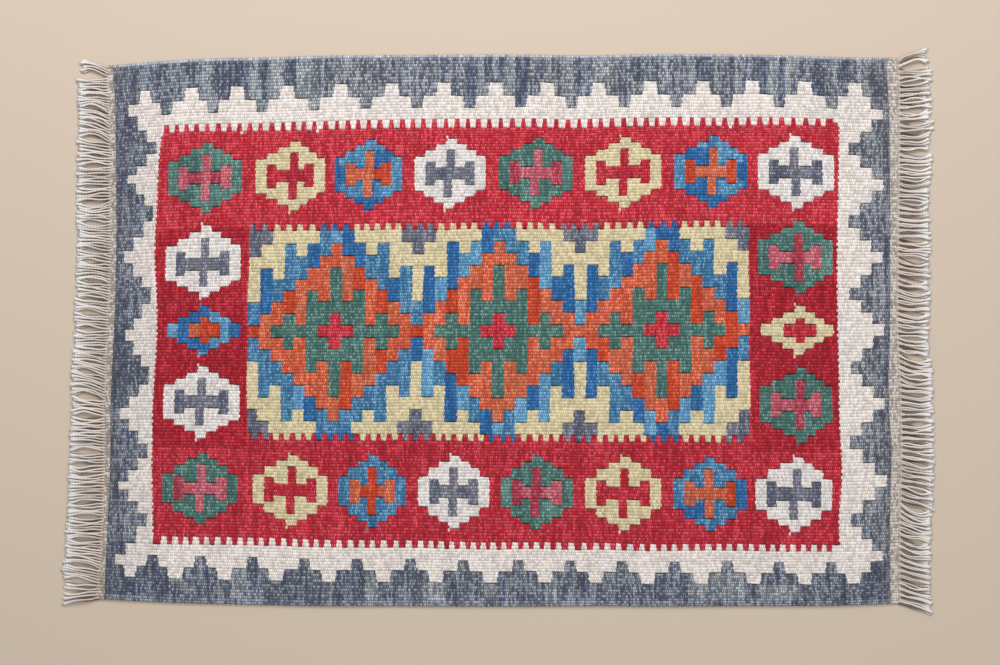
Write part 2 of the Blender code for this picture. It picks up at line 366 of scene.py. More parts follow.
def comb(tip_rib, foot_rib, teeth, tip_width, foot_width, wool):
    """A row of short teeth, each a few picks wide, with the small slips of a hand."""
    for tooth in range(teeth[-1][0] + 1):
        middle = read(teeth, 1, tooth) + TOOTH_SWAY * math.sin(5.1 * tooth + tip_rib)
        slip = TOOTH_SLIP * math.sin(3.7 * tooth + tip_rib)
        for rib, width in ((tip_rib, tip_width), (foot_rib, foot_width)):
            lay(rib, rib + 1, middle - width / 2 - slip, middle + width / 2 + slip, wool)


comb(RED_START - 2, RED_START - 1, FAR_COMB, 5.0, 6.4, "red")
lay(RED_START - 2, RED_START - 1, 374.5, 383.0, "red")
lay(RED_START - 1, RED_START, 374.0, 388.0, "red")
for place in LONG_GAPS:
    lay(RED_START, RED_START + 1, place - LONG_GAP_WIDTH / 2, place + LONG_GAP_WIDTH / 2,
        "ivory")
lay(RED_END, RED_END + 2, LEFT_EDGE + 52.0, RIGHT_EDGE - 58.0, "red")
comb(RED_END, RED_END + 1, NEAR_COMB, 5.4, 6.8, "ivory")
lay(RED_END, RED_END + 2, 381.0, RIGHT_EDGE - 57.0, "ivory")
print("teeth:", FAR_COMB[-1][0] + 2, "far and", NEAR_COMB[-1][0] + 1, "near")

# %% [markdown]
# One dye bath was not enough for so much red. Bands where a new batch was taken up are dyed
# over once the whole field stands, so the shapes don't have to know about them. The far band is
# dyed brighter too, as painted light on the side towards the window.

# %% Batches of red
# The far band, towards the window, gets a brighter red as painted light; the deepest batch went
# into the two side columns.
SCARLET_END, MADDER_END = 56, 130
overdye(RED_START - 2, SCARLET_END, LEFT_EDGE, RIGHT_EDGE, "red", "scarlet")
for left, right in ((LEFT_EDGE, -292.0), (288.0, RIGHT_EDGE)):
    overdye(SCARLET_END, MADDER_END, left, right, "red", "madder")
print("batches of red: 3")

# %% [markdown]
# ## Medallions
#
# Each medallion is counted from one rule: ribs in twos that step out to the full width, twelve
# ribs at that width, and back again. Inside stands a barred cross. The tip is rarely over the
# middle, and the steps lean with it, so one function takes the two sides and the tip's place.

# %% One medallion
TIP = 6.4
TAPER = 0.8
# Ribs from the tip to the start of each wider step: one count, and one a rib longer.
SHORT_STEPS, LONG_STEPS = (0, 2, 4, 6), (0, 2, 4, 7)
MEDALLION_RIBS = 24
RING = 12.7
SERIF = 11.5
UPRIGHT = 10.0
UPRIGHT_SHIFT = -1.4
TICK = 2.2
# Places of the wools in a colour pair; the second shade of each lies two places on.
BODY, BARS, SECOND = 0, 1, 2


def stepped_lozenge(first, end, steps, left, right, tip, lean, ticks, wool):
    """Steps out from the tip to the full width and back; the first rib of a step is shorter."""
    inner = (first + end) // 2
    for number, step in enumerate(steps):
        share = number / (len(steps) - 1)
        for middle, start, stop, outer in (
                (tip, first + step, inner, first + step),
                (tip + lean, inner, end - step, end - step - 1)):
            for rib in range(start, stop):
                trim = TAPER if rib == outer else 0.0
                lay(rib, rib + 1, middle - TIP + (left - middle + TIP) * share + trim,
                    middle + TIP + (right - middle - TIP) * share - trim, wool)
    if "far" in ticks:
        lay(first - 1, first, tip - TIP, tip - TIP + TICK, wool)
    if "near" in ticks:
        lay(end, end + 1, tip + lean - TIP, tip + lean - TIP + TICK, wool)


def medallion(first, steps, left, right, tip, lean, ticks, body, bars):
    """A stepped lozenge of one wool with a barred cross inside it."""
    stepped_lozenge(first, first + MEDALLION_RIBS, steps, left, right, tip, lean, ticks, body)
    lay(first + 10, first + 14, left + RING, right - RING, bars)
    for serif in (left + RING, right - RING - SERIF):
        lay(first + 8, first + 16, serif, serif + SERIF, bars)
    for start, middle in ((4, tip), (12, tip + lean)):
        bar = middle + UPRIGHT_SHIFT - UPRIGHT / 2
        lay(first + start, first + start + 8, bar, bar + UPRIGHT, bars)


def overdye_parts(first, left, right, tip, pair, parts):
    """Second shade of a medallion's body, or of its bars, in some of its parts."""
    bar_left, bar_right = (tip + UPRIGHT_SHIFT + side * UPRIGHT / 2 for side in (-1, 1))
    inside = left + RING + SERIF, right - RING - SERIF
    places = {
        "tip": (BODY, -1, 4, left, right),
        "upper_left": (BODY, 4, 9, left + 5, bar_left),
        "upper_right": (BODY, 4, 9, bar_right, right - 5),
        "left_ring": (BODY, 6, 18, left - 1, left + RING),
        "right_ring": (BODY, 6, 18, right - RING, right + 1),
        "lower_left": (BODY, 15, 20, left + 5, bar_left),
        "lower_right": (BODY, 15, 20, bar_right, right - 5),
        "low_tip": (BODY, 20, 25, left, right),
        "left_serif": (BARS, 8, 16, left + RING, inside[0]),
        "right_serif": (BARS, 8, 16, inside[1], right - RING),
        "left_arm": (BARS, 10, 14, inside[0], bar_left),
        "right_arm": (BARS, 10, 14, bar_right, inside[1]),
        "upright": (BARS, 4, 20, bar_left - 2, bar_right + 2),
    }
    for part in parts:
        wool, start, end, a, b = places[part]
        overdye(first + start, first + end, a, b, pair[wool], pair[wool + SECOND])


print("a medallion is", MEDALLION_RIBS, "ribs high")

# %% [markdown]
# The far and the near row hold eight medallions each, in four colour pairs that come round
# twice. The short columns at the sides hold two more and a small lozenge each. The weaver
# changed batches now and then, so each medallion lists its parts that got the second shade.
# Some tips end in a tick, where the last pick ran on over one more warp.

# %% The rows of medallions
# Wool of the body and of the bars, then the second shade of each.
PAIRS = {
    "green": ("green", "rose", "teal", "wine"),
    "straw": ("straw", "red", "straw", "red"),
    "blue": ("blue", "apricot", "pool", "rust"),
    "azure": ("azure", "apricot", "blue", "rust"),
    "white": ("white", "grey", "white", "slate"),
}
BOTH = ("far", "near")
# Pair, left, right, place of the tip, lean of the lower half, tips with a tick, and the parts
# in the second shade.
FAR_ROW = (
    ("green", -386.0, -297.6, -337.8, -1.4, ("near",), ("tip", "left_ring", "upper_right",
     "lower_right", "low_tip", "left_arm", "right_arm")),
    ("straw", -282.0, -202.0, -236.1, -1.7, ("near",), ()),
    ("blue", -190.7, -113.0, -148.8, -2.5, ("near",), ("tip", "upper_left", "lower_left",
     "lower_right", "right_ring", "right_serif", "right_arm")),
    ("white", -98.6, -16.5, -55.4, -3.7, BOTH, ("left_arm",)),
    ("green", -1.6, 84.0, 45.6, -4.6, ("near",), ("right_ring", "low_tip", "left_serif",
     "right_serif")),
    ("straw", 98.2, 186.0, 145.0, -1.7, BOTH, ()),
    ("blue", 201.0, 285.7, 248.1, -2.5, BOTH, ("tip", "left_ring", "upper_right",
     "lower_right", "left_serif", "right_serif")),
    ("white", 297.6, 383.0, 340.6, 1.8, BOTH, ("left_serif", "right_serif", "left_arm")),
)
NEAR_ROW = (
    ("green", -386.1, -299.7, -339.6, -1.9, (), ("left_serif",)),
    ("straw", -282.4, -197.0, -236.2, -1.9, BOTH, ()),
    ("azure", -184.8, -107.4, -144.7, -0.8, BOTH, ("upright", "left_arm")),
    ("white", -93.6, -12.2, -51.7, -0.9, BOTH, ("left_serif", "right_arm")),
    ("green", 1.0, 83.5, 43.2, -2.3, BOTH, ("left_ring", "lower_right", "upright",
     "left_serif")),
    ("straw", 97.2, 184.0, 143.6, -2.0, BOTH, ()),
    ("azure", 197.9, 282.0, 240.0, 0.5, ("far",), ("right_ring", "lower_left",
     "right_serif")),
    ("white", 291.8, 380.3, 341.0, -4.5, BOTH, ("left_serif", "left_arm", "right_serif")),
)
SIDE_MEDALLIONS = (
    (55, ("white", -389.0, -298.5, -338.6, -1.8, BOTH, ("left_serif", "right_serif"))),
    (103, ("white", -385.8, -298.3, -340.6, -2.2, BOTH, ("left_serif", "right_serif"))),
    (55, ("green", 296.8, 381.5, 344.4, 1.0, BOTH, ("tip", "right_ring", "upright"))),
    (103, ("green", 297.5, 382.0, 346.0, -1.0, BOTH, ("upright",))),
)


def coloured_medallion(first, steps, entry):
    """A medallion in one of the colour pairs, with its second shades worked in."""
    pair, left, right, tip, lean, ticks, parts = entry
    wools = PAIRS[pair]
    medallion(first, steps, left, right, tip, lean, ticks, wools[BODY], wools[BARS])
    overdye_parts(first, left, right, tip, wools, parts)


FAR_FIRST, NEAR_FIRST = 27, 132
for entry in FAR_ROW:
    coloured_medallion(FAR_FIRST, SHORT_STEPS, entry)
for entry in NEAR_ROW:
    coloured_medallion(NEAR_FIRST, LONG_STEPS, entry)
for first, entry in SIDE_MEDALLIONS:
    coloured_medallion(first, SHORT_STEPS, entry)
print(len(FAR_ROW) + len(NEAR_ROW) + len(SIDE_MEDALLIONS), "medallions")

# %% [markdown]
# Between the two medallions of each side column stands one small lozenge. It is stepped as a
# medallion is, with fewer ribs at its full width, and its bar has no serifs.

# %% The two small lozenges
# First rib, ribs at the full width, left, right, tip, then wool of the body, bar and upright.
for first, level, left, right, tip, body, bars, upright in (
        (82, 5, -385.2, -298.0, -339.6, "sky", "apricot", "rust"),
        (83, 4, 299.3, 382.5, 344.5, "straw", "red", "red")):
    stepped_lozenge(first, first + 12 + level, SHORT_STEPS, left, right, tip, -1.5, BOTH, body)
    lay(first + 6, first + 6 + level, tip - 19.0, tip + 18.5, bars)
    lay(first + 4, first + 8 + level, tip - 5.0, tip + 5.5, upright)
overdye(82, 98, -372.0, -333.0, "sky", "blue")
overdye(88, 94, -312.0, -297.0, "sky", "blue")
overdye(88, 93, -334.0, -318.0, "apricot", "rust")
print("2 lozenges")

# %% [markdown]
# ## The middle field
#
# Three stepped diamonds stand side by side. They are mirror images of themselves both ways, so
# a quarter of one diamond is the whole chart: nine rows of eight blocks, each block four warps
# deep, from the joint between two diamonds to a diamond's middle.

# %% Chart of a quarter diamond
CHART = (
    "ggssssbb",
    "gssbsbbo",
    "sssbbboo",
    "sbsbboon",
    "sbbbooon",
    "sbboonon",
    "bbooonnn",
    "boononnr",
    "oonnnnrr",
)
CHART_WOOLS = {"g": "grey", "s": "straw", "b": "blue", "o": "rust", "n": "green",
               "r": "scarlet"}
FIELD_START, BLOCK_RIBS = 57, 4
FIELD_LEFT, BLOCK = -289.8, 13.4
SWAY = 0.7
LEAN_LEFT, LEAN_RIGHT = 2.3, 0.3
DIAMONDS = 3
HALF = len(CHART[0]) - 1
ROWS, COLUMNS = 2 * len(CHART) - 1, 2 * HALF * DIAMONDS + 1


def block_wool(row, column):
    """Wool of one block of the middle field, read from the quarter chart."""
    line = CHART[len(CHART) - 1 - abs(len(CHART) - 1 - row)]
    return CHART_WOOLS[line[HALF - abs(HALF - column % (2 * HALF))]]


def seam(row, column):
    """Where the upright seam at the left of a column lies in one row.

    It sways by a fraction of a pick, and the seams lean more towards the left end.
    """
    high = 1 - 2 * row / (ROWS - 1)
    lean = LEAN_LEFT + (LEAN_RIGHT - LEAN_LEFT) * column / COLUMNS
    if column == 0:
        lean = lean / 2 if high > 0 else 0.0
    return FIELD_LEFT + column * BLOCK + lean * high + SWAY * math.sin(2.1 * column + 0.9 * row)


def block_place(row, column):
    """First rib, end rib, left and right of one block."""
    first = FIELD_START + row * BLOCK_RIBS
    return first, first + BLOCK_RIBS, seam(row, column), seam(row, column + 1)


for row in range(ROWS):
    for column in range(COLUMNS):
        lay(*block_place(row, column), block_wool(row, column))
print(ROWS, "rows of", COLUMNS, "blocks")

# %% [markdown]
# Like the cream, the field is locked to the red by a comb. Its teeth keep a beat of their own,
# a little closer than the columns, and each takes the wool of the block that it stands on.

# %% Teeth of the middle field
TOOTH_TIP, TOOTH_FOOT = 5.6, 6.8
FIELD_END = FIELD_START + ROWS * BLOCK_RIBS
FAR_TEETH = ((0, -283.8), (4, -229.6), (8, -177.2), (12, -129.0), (17, -67.2), (44, 276.8))
NEAR_TEETH = ((0, -280.7), (45, 274.6))


def field_teeth(row, tip_rib, foot_rib, teeth):
    """Teeth of two ribs on the first or the last row of blocks."""
    for tooth in range(teeth[-1][0] + 1):
        middle = read(teeth, 1, tooth) + TOOTH_SWAY * math.sin(4.3 * tooth + row)
        wool = block_wool(row, int((middle - FIELD_LEFT) / BLOCK))
        for rib, width in ((tip_rib, TOOTH_TIP), (foot_rib, TOOTH_FOOT)):
            lay(rib, rib + 1, middle - width / 2, middle + width / 2, wool)


field_teeth(0, FIELD_START - 2, FIELD_START - 1, FAR_TEETH)
field_teeth(ROWS - 1, FIELD_END + 1, FIELD_END, NEAR_TEETH)
print("field teeth:", FAR_TEETH[-1][0] + 1, "far and", NEAR_TEETH[-1][0] + 1, "near")

# %% [markdown]
# The weaver took up blue and orange in three shades each, a column or two at a time. A column of
# blocks is woven in one go, so a shade keeps to its column from one change of wool to the next.
# The lists name the columns, for the far and the near half, whose yarn came from the dark or
# the pale batch. All the others were woven with the one between.

# %% Shades in the middle field
MIDDLE_ROW = ROWS // 2
SHADES = {"blue": ("blue", "azure", "sky"), "rust": ("rust", "coral", "apricot")}
DARK = {
    "blue": ((1, 5, 8, 9, 12, 15, 17, 20, 24, 26, 27, 29, 32, 35, 36, 41),
             (5, 14, 17, 20, 24, 27, 29, 33, 35, 38, 41)),
    "rust": ((0, 3, 9, 11, 14, 17, 24, 36, 38, 41),
             (8, 11, 14, 17, 18, 30, 33, 36, 40, 41)),
}
PALE = {
    "blue": ((7, 16, 18, 19, 25, 28, 34, 42),
             (4, 15, 18, 21, 23, 25, 28, 34, 37, 39, 40)),
    "rust": ((1, 4, 8, 12, 19, 21, 22, 23, 25, 26, 28, 37, 39),
             (1, 7, 9, 10, 16, 21, 22, 23, 25, 31, 32, 34, 37, 39)),
}
for row in range(ROWS):
    half = int(row > MIDDLE_ROW)
    for column in range(COLUMNS):
        first, end, left, right = block_place(row, column)
        for wool, (dark, between, pale) in SHADES.items():
            new = dark if column in DARK[wool][half] else (
                pale if column in PALE[wool][half] else between)
            overdye(first, end, left, right, wool, new)
for joint in range(DIAMONDS + 1):
    left = FIELD_LEFT + joint * 2 * HALF * BLOCK
    overdye(FIELD_START - 2, FIELD_END + 2, left, left + BLOCK, "grey", "slate")
print("half columns of a dark or a pale blue:",
      sum(len(DARK["blue"][k]) + len(PALE["blue"][k]) for k in (0, 1)))

# %% [markdown]
# ## Cutting the sheet along the runs
#
# The pattern is now complete, and each rib's runs say where its wool changes. Odd and even ribs
# change wool a little apart, since a pick goes over one warp and under the next, and that is
# what makes upright edges look toothed.

# %% Where each rib is cut
TOOTHING, HAND_SLIP = 0.3, 0.3
SHORTEST_RUN = 0.5
# Ribs with comb teeth, where an edge belongs to one rib alone and isn't toothed.
COMB_RIBS = {first + k for first in (RED_START - 2, FIELD_START - 2, FIELD_END, RED_END)
             for k in (0, 1)}


def toothed(rib):
    """Runs of a rib with neighbours of one wool joined, and the changes moved a little."""
    joined = []
    for start, stop, wool in runs[rib]:
        if joined and joined[-1][2] == wool:
            joined[-1] = (joined[-1][0], stop, wool)
        elif stop - start > SHORTEST_RUN:
            joined.append((start, stop, wool))
    shift = TOOTHING if rib % 2 else -TOOTHING
    moved = [0.0 if rib in COMB_RIBS else shift + HAND_SLIP * math.sin(2.3 * rib + 0.05 * stop)
             for _, stop, _ in joined]
    ends = [run[1] + slip for run, slip in zip(joined, moved)]
    ends[-1] = RIGHT_EDGE
    return [(stop, run[2]) for stop, run in zip(ends, joined)]


ribs = [toothed(rib) for rib in range(RIBS)]
print("changes of wool:", sum(len(rib) - 1 for rib in ribs))

# %% [markdown]
# The sheet starts as a grid with two strips to a rib, so that a rib has a crest between two
# furrows. What later steps will note on faces and vertices is declared before the grid is made,
# so that every cut hands it on. The points of each line are kept in order, for the knife.

# %% The grid
GRID_COLUMNS = 30
sheet = bmesh.new()
dye = sheet.faces.layers.float_color.new("dye")
second = sheet.faces.layers.float_color.new("second")
depth = sheet.verts.layers.float.new("groove")
uv = sheet.loops.layers.uv.new("weave")
bmesh.ops.create_grid(sheet, x_segments=GRID_COLUMNS, y_segments=2 * RIBS, size=0.5)
lines = [[] for row in range(2 * RIBS + 1)]
for vert in sheet.verts:
    row = round((0.5 - vert.co.y) * 2 * RIBS)
    vert.co = (LEFT_EDGE + (vert.co.x + 0.5) * (RIGHT_EDGE - LEFT_EDGE), row, 0.0)
    lines[row].append((vert.co.x, vert.index, vert))
lines = [[(x, vert) for x, _, vert in sorted(line, key=lambda item: item[:2])]
         for line in lines]
print("lines across the grid:", len(lines))

# %% [markdown]
# A bisect over the whole sheet for each change of wool would cut every rib at once, so the
# knife is used here: an edge is split where the wool changes, and the new points are joined
# across the face.

# %% The knife
# Points closer than this are taken as one.
SNAP = 0.05


def point_on(line, place):
    """The sheet's point on a line of the grid at this place, split into its edge if needed."""
    k = bisect_left(line, place, key=lambda item: item[0])
    for x, vert in line[max(k - 1, 0):k + 1]:
        if abs(x - place) < SNAP:
            return vert
    (x0, before), (x1, after) = line[k - 1], line[k]
    edge = sheet.edges.get((before, after))
    vert = bmesh.utils.edge_split(edge, before, (place - x0) / (x1 - x0))[1]
    line.insert(k, (place, vert))
    return vert


def join_across(first, second):
    """Cut the face that two points share, unless an edge joins them already."""
    if sheet.edges.get((first, second)) is None:
        face = next(face for face in first.link_faces if second in face.verts)
        bmesh.utils.face_split(face, first, second)


for rib, changes in enumerate(ribs):
    for place, _ in changes[:-1]:
        cut = [point_on(lines[2 * rib + k], place) for k in range(3)]
        join_across(cut[0], cut[1])
        join_across(cut[1], cut[2])
print("faces on one side:", len(sheet.faces))

# %% [markdown]
# At the two long sides each pick turns round the last warp, and the turns show as small bumps.
# The outermost lines get a point for each turn here, and the points are moved in and out when
# the sheet is laid out.

# %% Points for the turns of the selvedge
TURN = 3.1
turns = int((RIGHT_EDGE - LEFT_EDGE) / TURN)
for line in (lines[0], lines[-1]):
    for turn in range(1, turns):
        point_on(line, LEFT_EDGE + turn * TURN)
print("turns at each selvedge:", turns)

# %% [markdown]
# ## Dye the faces and open the slits
#
# Every face lies inside one run, so its wool is looked up from its middle and kept on the face
# as two colours. The first carries the share of paler hairs beside it and the second how strongly
# the shade drifts. One material then serves all the wools, since it reads them from the faces.

# %% Dye
palette = {name: ((*linear(main), share), (*linear(other), drift))
           for name, (main, other, share, drift) in WOOLS.items()}


def wool_at(rib, place):
    """Wool that covers a rib at this place."""
    changes = ribs[rib]
    return changes[min(bisect_left(changes, place, key=lambda item: item[0]),
                       len(changes) - 1)][1]


for face in sheet.faces:
    middle = face.calc_center_bounds()
    face[dye], face[second] = palette[wool_at(int(middle.y / 2), middle.x)]
print("wools in the rug:", len({wool for rib in ribs for _, wool in rib}))

# %% [markdown]
# Where two wools meet along a warp, nothing ties them together: each turns back round its own
# warp and leaves a slit, the mark of this kind of weave. There the furrow gets two points just
# inside the ends of the slit, and all that lies between them goes down deeper. A long slit is
# left a little shallower, as it is drawn in so that it doesn't snag.

# %% Slits
# How deep a point lies: 0 on a crest, 1 in a short slit.
CREST, FURROW, LONG_SLIT_DEPTH, SLIT = 0.0, 0.6, 0.88, 1.0
SHORTEST_SLIT, LONG_SLIT = 2.5, 22.0
SLIT_INSET = 0.8
# A fresh batch is carried on from the last one, so it leaves no slit beside it. The far band's
# brighter red, painted light, leaves none either.
SAME_WOOL = {"navy": "border", "dusk": "border", "fog": "border", "hem": "border",
             "selvedge": "border", "cream": "ivory", "scarlet": "red", "madder": "red",
             "teal": "green", "wine": "rose", "azure": "blue", "pool": "blue", "sky": "blue",
             "coral": "rust", "apricot": "rust", "slate": "grey"}


def tied(rib, place):
    """Whether the ribs before and after a furrow have one wool here, from whatever batch."""
    before, after = wool_at(rib - 1, place), wool_at(rib, place)
    return SAME_WOOL.get(before, before) == SAME_WOOL.get(after, after)


def open_stretches(rib):
    """Stretches of the furrow before a rib where nothing ties its two sides."""
    spans = []
    line = lines[2 * rib]
    for (x0, _), (x1, _) in zip(line, line[1:]):
        if tied(rib, (x0 + x1) / 2):
            continue
        if spans and spans[-1][1] == x0:
            spans[-1][1] = x1
        else:
            spans.append([x0, x1])
    return [span for span in spans if span[1] - span[0] >= SHORTEST_SLIT]


slits = 0
for rib in range(1, RIBS):
    line = lines[2 * rib]
    for start, stop in open_stretches(rib):
        slits += 1
        inset = min(SLIT_INSET, (stop - start) / 4)
        point_on(line, start + inset)
        point_on(line, stop - inset)
        strength = SLIT if stop - start < LONG_SLIT else LONG_SLIT_DEPTH
        for x, vert in line:
            if start + inset - SNAP <= x <= stop - inset + SNAP:
                vert[depth] = strength
for row, line in enumerate(lines):
    for x, vert in line:
        vert[depth] = max(vert[depth], FURROW if row % 2 == 0 else CREST)
print("slits:", slits)

# %% [markdown]
# ## Give it thickness and lay it out
#
# The reverse of a kilim shows the same pattern, so the dyed sheet is simply extruded. Then each
# point is moved from the weaver's count of ribs and picks to its place on the real rug. Ribs
# were not beaten alike everywhere, so a table says which share of the width each has reached.

# %% Shares of the width
# Rib, then its share of the width from the far side, at the left, the middle and the right.
RIB_SHARES = (
    (0, 0.0, 0.0, 0.0),
    (9, 0.0533, 0.0510, 0.0477),
    (13, 0.0780, 0.0757, 0.0729),
    (17, 0.1015, 0.0977, 0.0965),
    (21, 0.1228, 0.1186, 0.1162),
    (23, 0.1368, 0.1349, 0.1298),
    (27, 0.1570, 0.1539, 0.1486),
    (39, 0.2218, 0.2180, 0.2144),
    (51, 0.2865, 0.2828, 0.2803),
    (57, 0.3208, 0.3203, 0.3145),
    (66, 0.3765, 0.3697, 0.3645),
    (84, 0.4680, 0.4672, 0.4640),
    (125, 0.6890, 0.6925, 0.6950),
    (128, 0.7075, 0.7110, 0.7140),
    (134, 0.7381, 0.7415, 0.7442),
    (156, 0.8564, 0.8621, 0.8692),
    (160, 0.8790, 0.8844, 0.8905),
    (162, 0.8936, 0.8975, 0.9029),
    (166, 0.9149, 0.9177, 0.9220),
    (170, 0.9358, 0.9380, 0.9426),
    (174, 0.9567, 0.9583, 0.9618),
    (182, 1.0, 1.0, 1.0),
)
middle_width = across_at(0.0, 1.0) - across_at(0.0, 0.0)
print("rib pitch near the far side:", middle_width * RIB_SHARES[1][2] / RIB_SHARES[1][0], "mm")

# %% [markdown]
# Across the rug, a rib lies at its share between the two bowed sides. Along the rug, a place
# stays where the count has it, and only the last hand's breadth takes up the wander of the end.
# The outermost lines also bulge at each turn of the selvedge.

# %% From the count to the rug
# Where the left and the right shares were measured, and where the wander of the ends fades.
MEASURED = 345.0
FADE_FROM, FADE_TO = 400.0, 325.0
SLOW_WAVE, QUICK_WAVE = 1.1, 0.35
TURN_BULGE, TURN_IN = 0.5, 0.3


def rib_shares(row):
    """Share of the width at the left, middle and right for a row of the grid."""
    return [read(RIB_SHARES, column, row / 2) for column in (1, 2, 3)]


row_shares = [rib_shares(row) for row in range(2 * RIBS + 1)]
row_wander = [(end_line(LEFT_CLOTH, 1 - shares[0])[0] - LEFT_EDGE,
               end_line(RIGHT_CLOTH, 1 - shares[2])[0] - RIGHT_EDGE) for shares in row_shares]


def laid_out(place, row):
    """Where a point of the count lies on the rug, along and across."""
    left, middle, right = row_shares[row]
    t = max(-1.0, min(1.0, place / MEASURED))
    share = middle + t * (right - left) / 2 + t * t * ((right + left) / 2 - middle)
    fade = max(0.0, min(1.0, (abs(place) - FADE_TO) / (FADE_FROM - FADE_TO)))
    along = place + row_wander[row][place > 0] * fade * fade * (3 - 2 * fade)
    across = across_at(along, 1.0 - share)
    if 0 < row < 2 * RIBS:
        inside = min(1.0, row / 20, (2 * RIBS - row) / 20)
        across += inside * SLOW_WAVE * noise.noise((place / 60.0, row / 70.0, 0.0))
        across += QUICK_WAVE * noise.noise((place / 30.0, row / 7.0, 3.0))
    else:
        outward = 1.0 if row == 0 else -1.0
        turn = math.sin(math.pi * place / TURN + place / 9.0)
        across += outward * (TURN_BULGE * turn - TURN_IN)
    return along, across


print("far left corner of the cloth:", laid_out(LEFT_EDGE, 0))

# %% [markdown]
# Extruding copies the dye to the other side. Edges along a furrow are marked sharp, so that the
# light breaks there and runs smoothly over the crests. The UV map keeps the count itself, for
# the material: metres along the rug, and the share of all ribs.

# %% Thickness
top = bmesh.ops.extrude_face_region(sheet, geom=sheet.faces[:])["geom"]
for vert in (item for item in top if isinstance(item, bmesh.types.BMVert)):
    vert.co.z = 1.0
for face in sheet.faces:
    face.smooth = True
    for loop in face.loops:
        loop[uv].uv = (loop.vert.co.x * MM, loop.vert.co.y / (2 * RIBS))
for edge in sheet.edges:
    first, last = (vert.co for vert in edge.verts)
    along_furrow = first.y == last.y and round(first.y) % 2 == 0 and first.z == last.z
    edge.smooth = not along_furrow
print("faces of the sheet:", len(sheet.faces))

# %% [markdown]
# A warp under the wool makes a crest, and the cloth falls away on both sides of it: a little
# where one pick crosses to the next rib, and most of the way down in an open slit. A slow noise
# lowers it here and there, since no hand-woven rug is quite even.

# %% Relief
CREST_TOP, FURROW_TOP, SLIT_TOP = 3.0, 2.25, 0.9
WEB_TOP = 2.4
EDGE_TOP, EDGE_BOTTOM = 1.95, 0.75
# The underside has the same ribs, pressed a little flatter.
PRESSED = 0.8
ROLL, ROLL_MIDDLE = 0.22, -0.1
END_SLOPE = 6.0


def height_at(place, row, groove, top_side):
    """Height of a point of the sheet over the floor."""
    if row in (0, 2 * RIBS):
        return EDGE_TOP if top_side else EDGE_BOTTOM
    relief = CREST_TOP - FURROW_TOP
    drop = relief * groove / FURROW if groove <= FURROW else (
        relief + (CREST_TOP - SLIT_TOP - relief) * (groove - FURROW) / (SLIT - FURROW))
    if not top_side:
        return min(drop, relief) * PRESSED
    roll = ROLL * noise.noise((place / 60.0, row / 24.0, 4.0)) + ROLL_MIDDLE
    near_end = max(0.0, 1.0 - (min(place - LEFT_EDGE, RIGHT_EDGE - place)) / END_SLOPE)
    height = CREST_TOP + min(roll, 0.0) - drop
    return height + (min(WEB_TOP, height) - height) * near_end


for vert in sheet.verts:
    place, row, level = vert.co
    row = round(row)
    along, across = laid_out(place, row)
    vert.co = (along, across, height_at(place, row, vert[depth], level > 0.5))
print("highest point:", max(vert.co.z for vert in sheet.verts), "mm")

# %% [markdown]
# Each piece of the rug is made in millimetres and turned into metres when it is finished. It
# then rides the one body of the model and says which solids of the model it stands for.

# %% Finish a piece
def add_piece(name, shape, material, *nodes):
    """Finish a bmesh in millimetres as a piece that stands for a node of the model."""
    bmesh.ops.scale(shape, vec=(MM, MM, MM), verts=shape.verts)
    bmesh.ops.recalc_face_normals(shape, faces=shape.faces)
    mesh = bpy.data.meshes.new(name)
    shape.to_mesh(mesh)
    shape.free()
    mesh.materials.append(material)
    piece = bpy.data.objects.new(name, mesh)
    bpy.context.scene.collection.objects.link(piece)
    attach(piece, "root")
    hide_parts(*nodes)
    print(name, len(mesh.polygons), "faces")
    return piece


print("vertices of the cloth:", len(sheet.verts))

# %% [markdown]
# ## Wool, as a material
#
# The wool has no picture behind it. Its dye comes from the faces, and everything finer is worked
# out from the count that was kept as a UV map: which rib, and which bead on that rib. A white
# noise gives each bead its own shade, a stretched noise gives the drift from pick to pick, and
# the rounding of beads goes into the bump.
#
# Such a rule takes dozens of Math nodes. A small class makes them: it stands for one number of
# the shader, and each sum, product or power of it adds a node, so a formula here reads as one.

# %% Numbers that a shader works out
class Value:
    """A number worked out at each point of a surface, so that formulas read as formulas."""

    def __init__(self, tree, socket):
        self.tree, self.socket = tree, socket

    def maths(self, operation, *others):
        """One Math node on this value and others."""
        node = self.tree.nodes.new("ShaderNodeMath")
        node.operation = operation
        for socket, value in zip(node.inputs, (self, *others)):
            feed(self.tree, socket, value)
        return Value(self.tree, node.outputs[0])

    def __add__(self, other):
        return self.maths("ADD", other)

    def __sub__(self, other):
        return self.maths("SUBTRACT", other)

    def __rsub__(self, other):
        return self * -1.0 + other

    def __mul__(self, other):
        return self.maths("MULTIPLY", other)

    def __truediv__(self, other):
        return self.maths("DIVIDE", other)

    def __pow__(self, other):
        return self.maths("POWER", other)

    def at_least(self, low):
        """This value, or low where it is lower."""
        return self.maths("MAXIMUM", low)

    def at_most(self, high):
        """This value, or high where it is higher."""
        return self.maths("MINIMUM", high)


def feed(tree, socket, value):
    """Link a socket, or set its value."""
    if isinstance(value, Value):
        value = value.socket
    if isinstance(value, bpy.types.NodeSocket):
        tree.links.new(value, socket)
    else:
        socket.default_value = value


print("a value knows:", ", ".join(name.strip("_") for name in vars(Value)
                                  if callable(getattr(Value, name))))

# %% [markdown]
# Wool and cotton take light alike: they are rough, hardly shiny, and fibre ends give a faint
# sheen where light grazes them. So both start from one Principled material, and their relief
# is a bump.

# %% A material for fibre
SPECULAR, SHEEN_ROUGHNESS = 0.25, 0.5


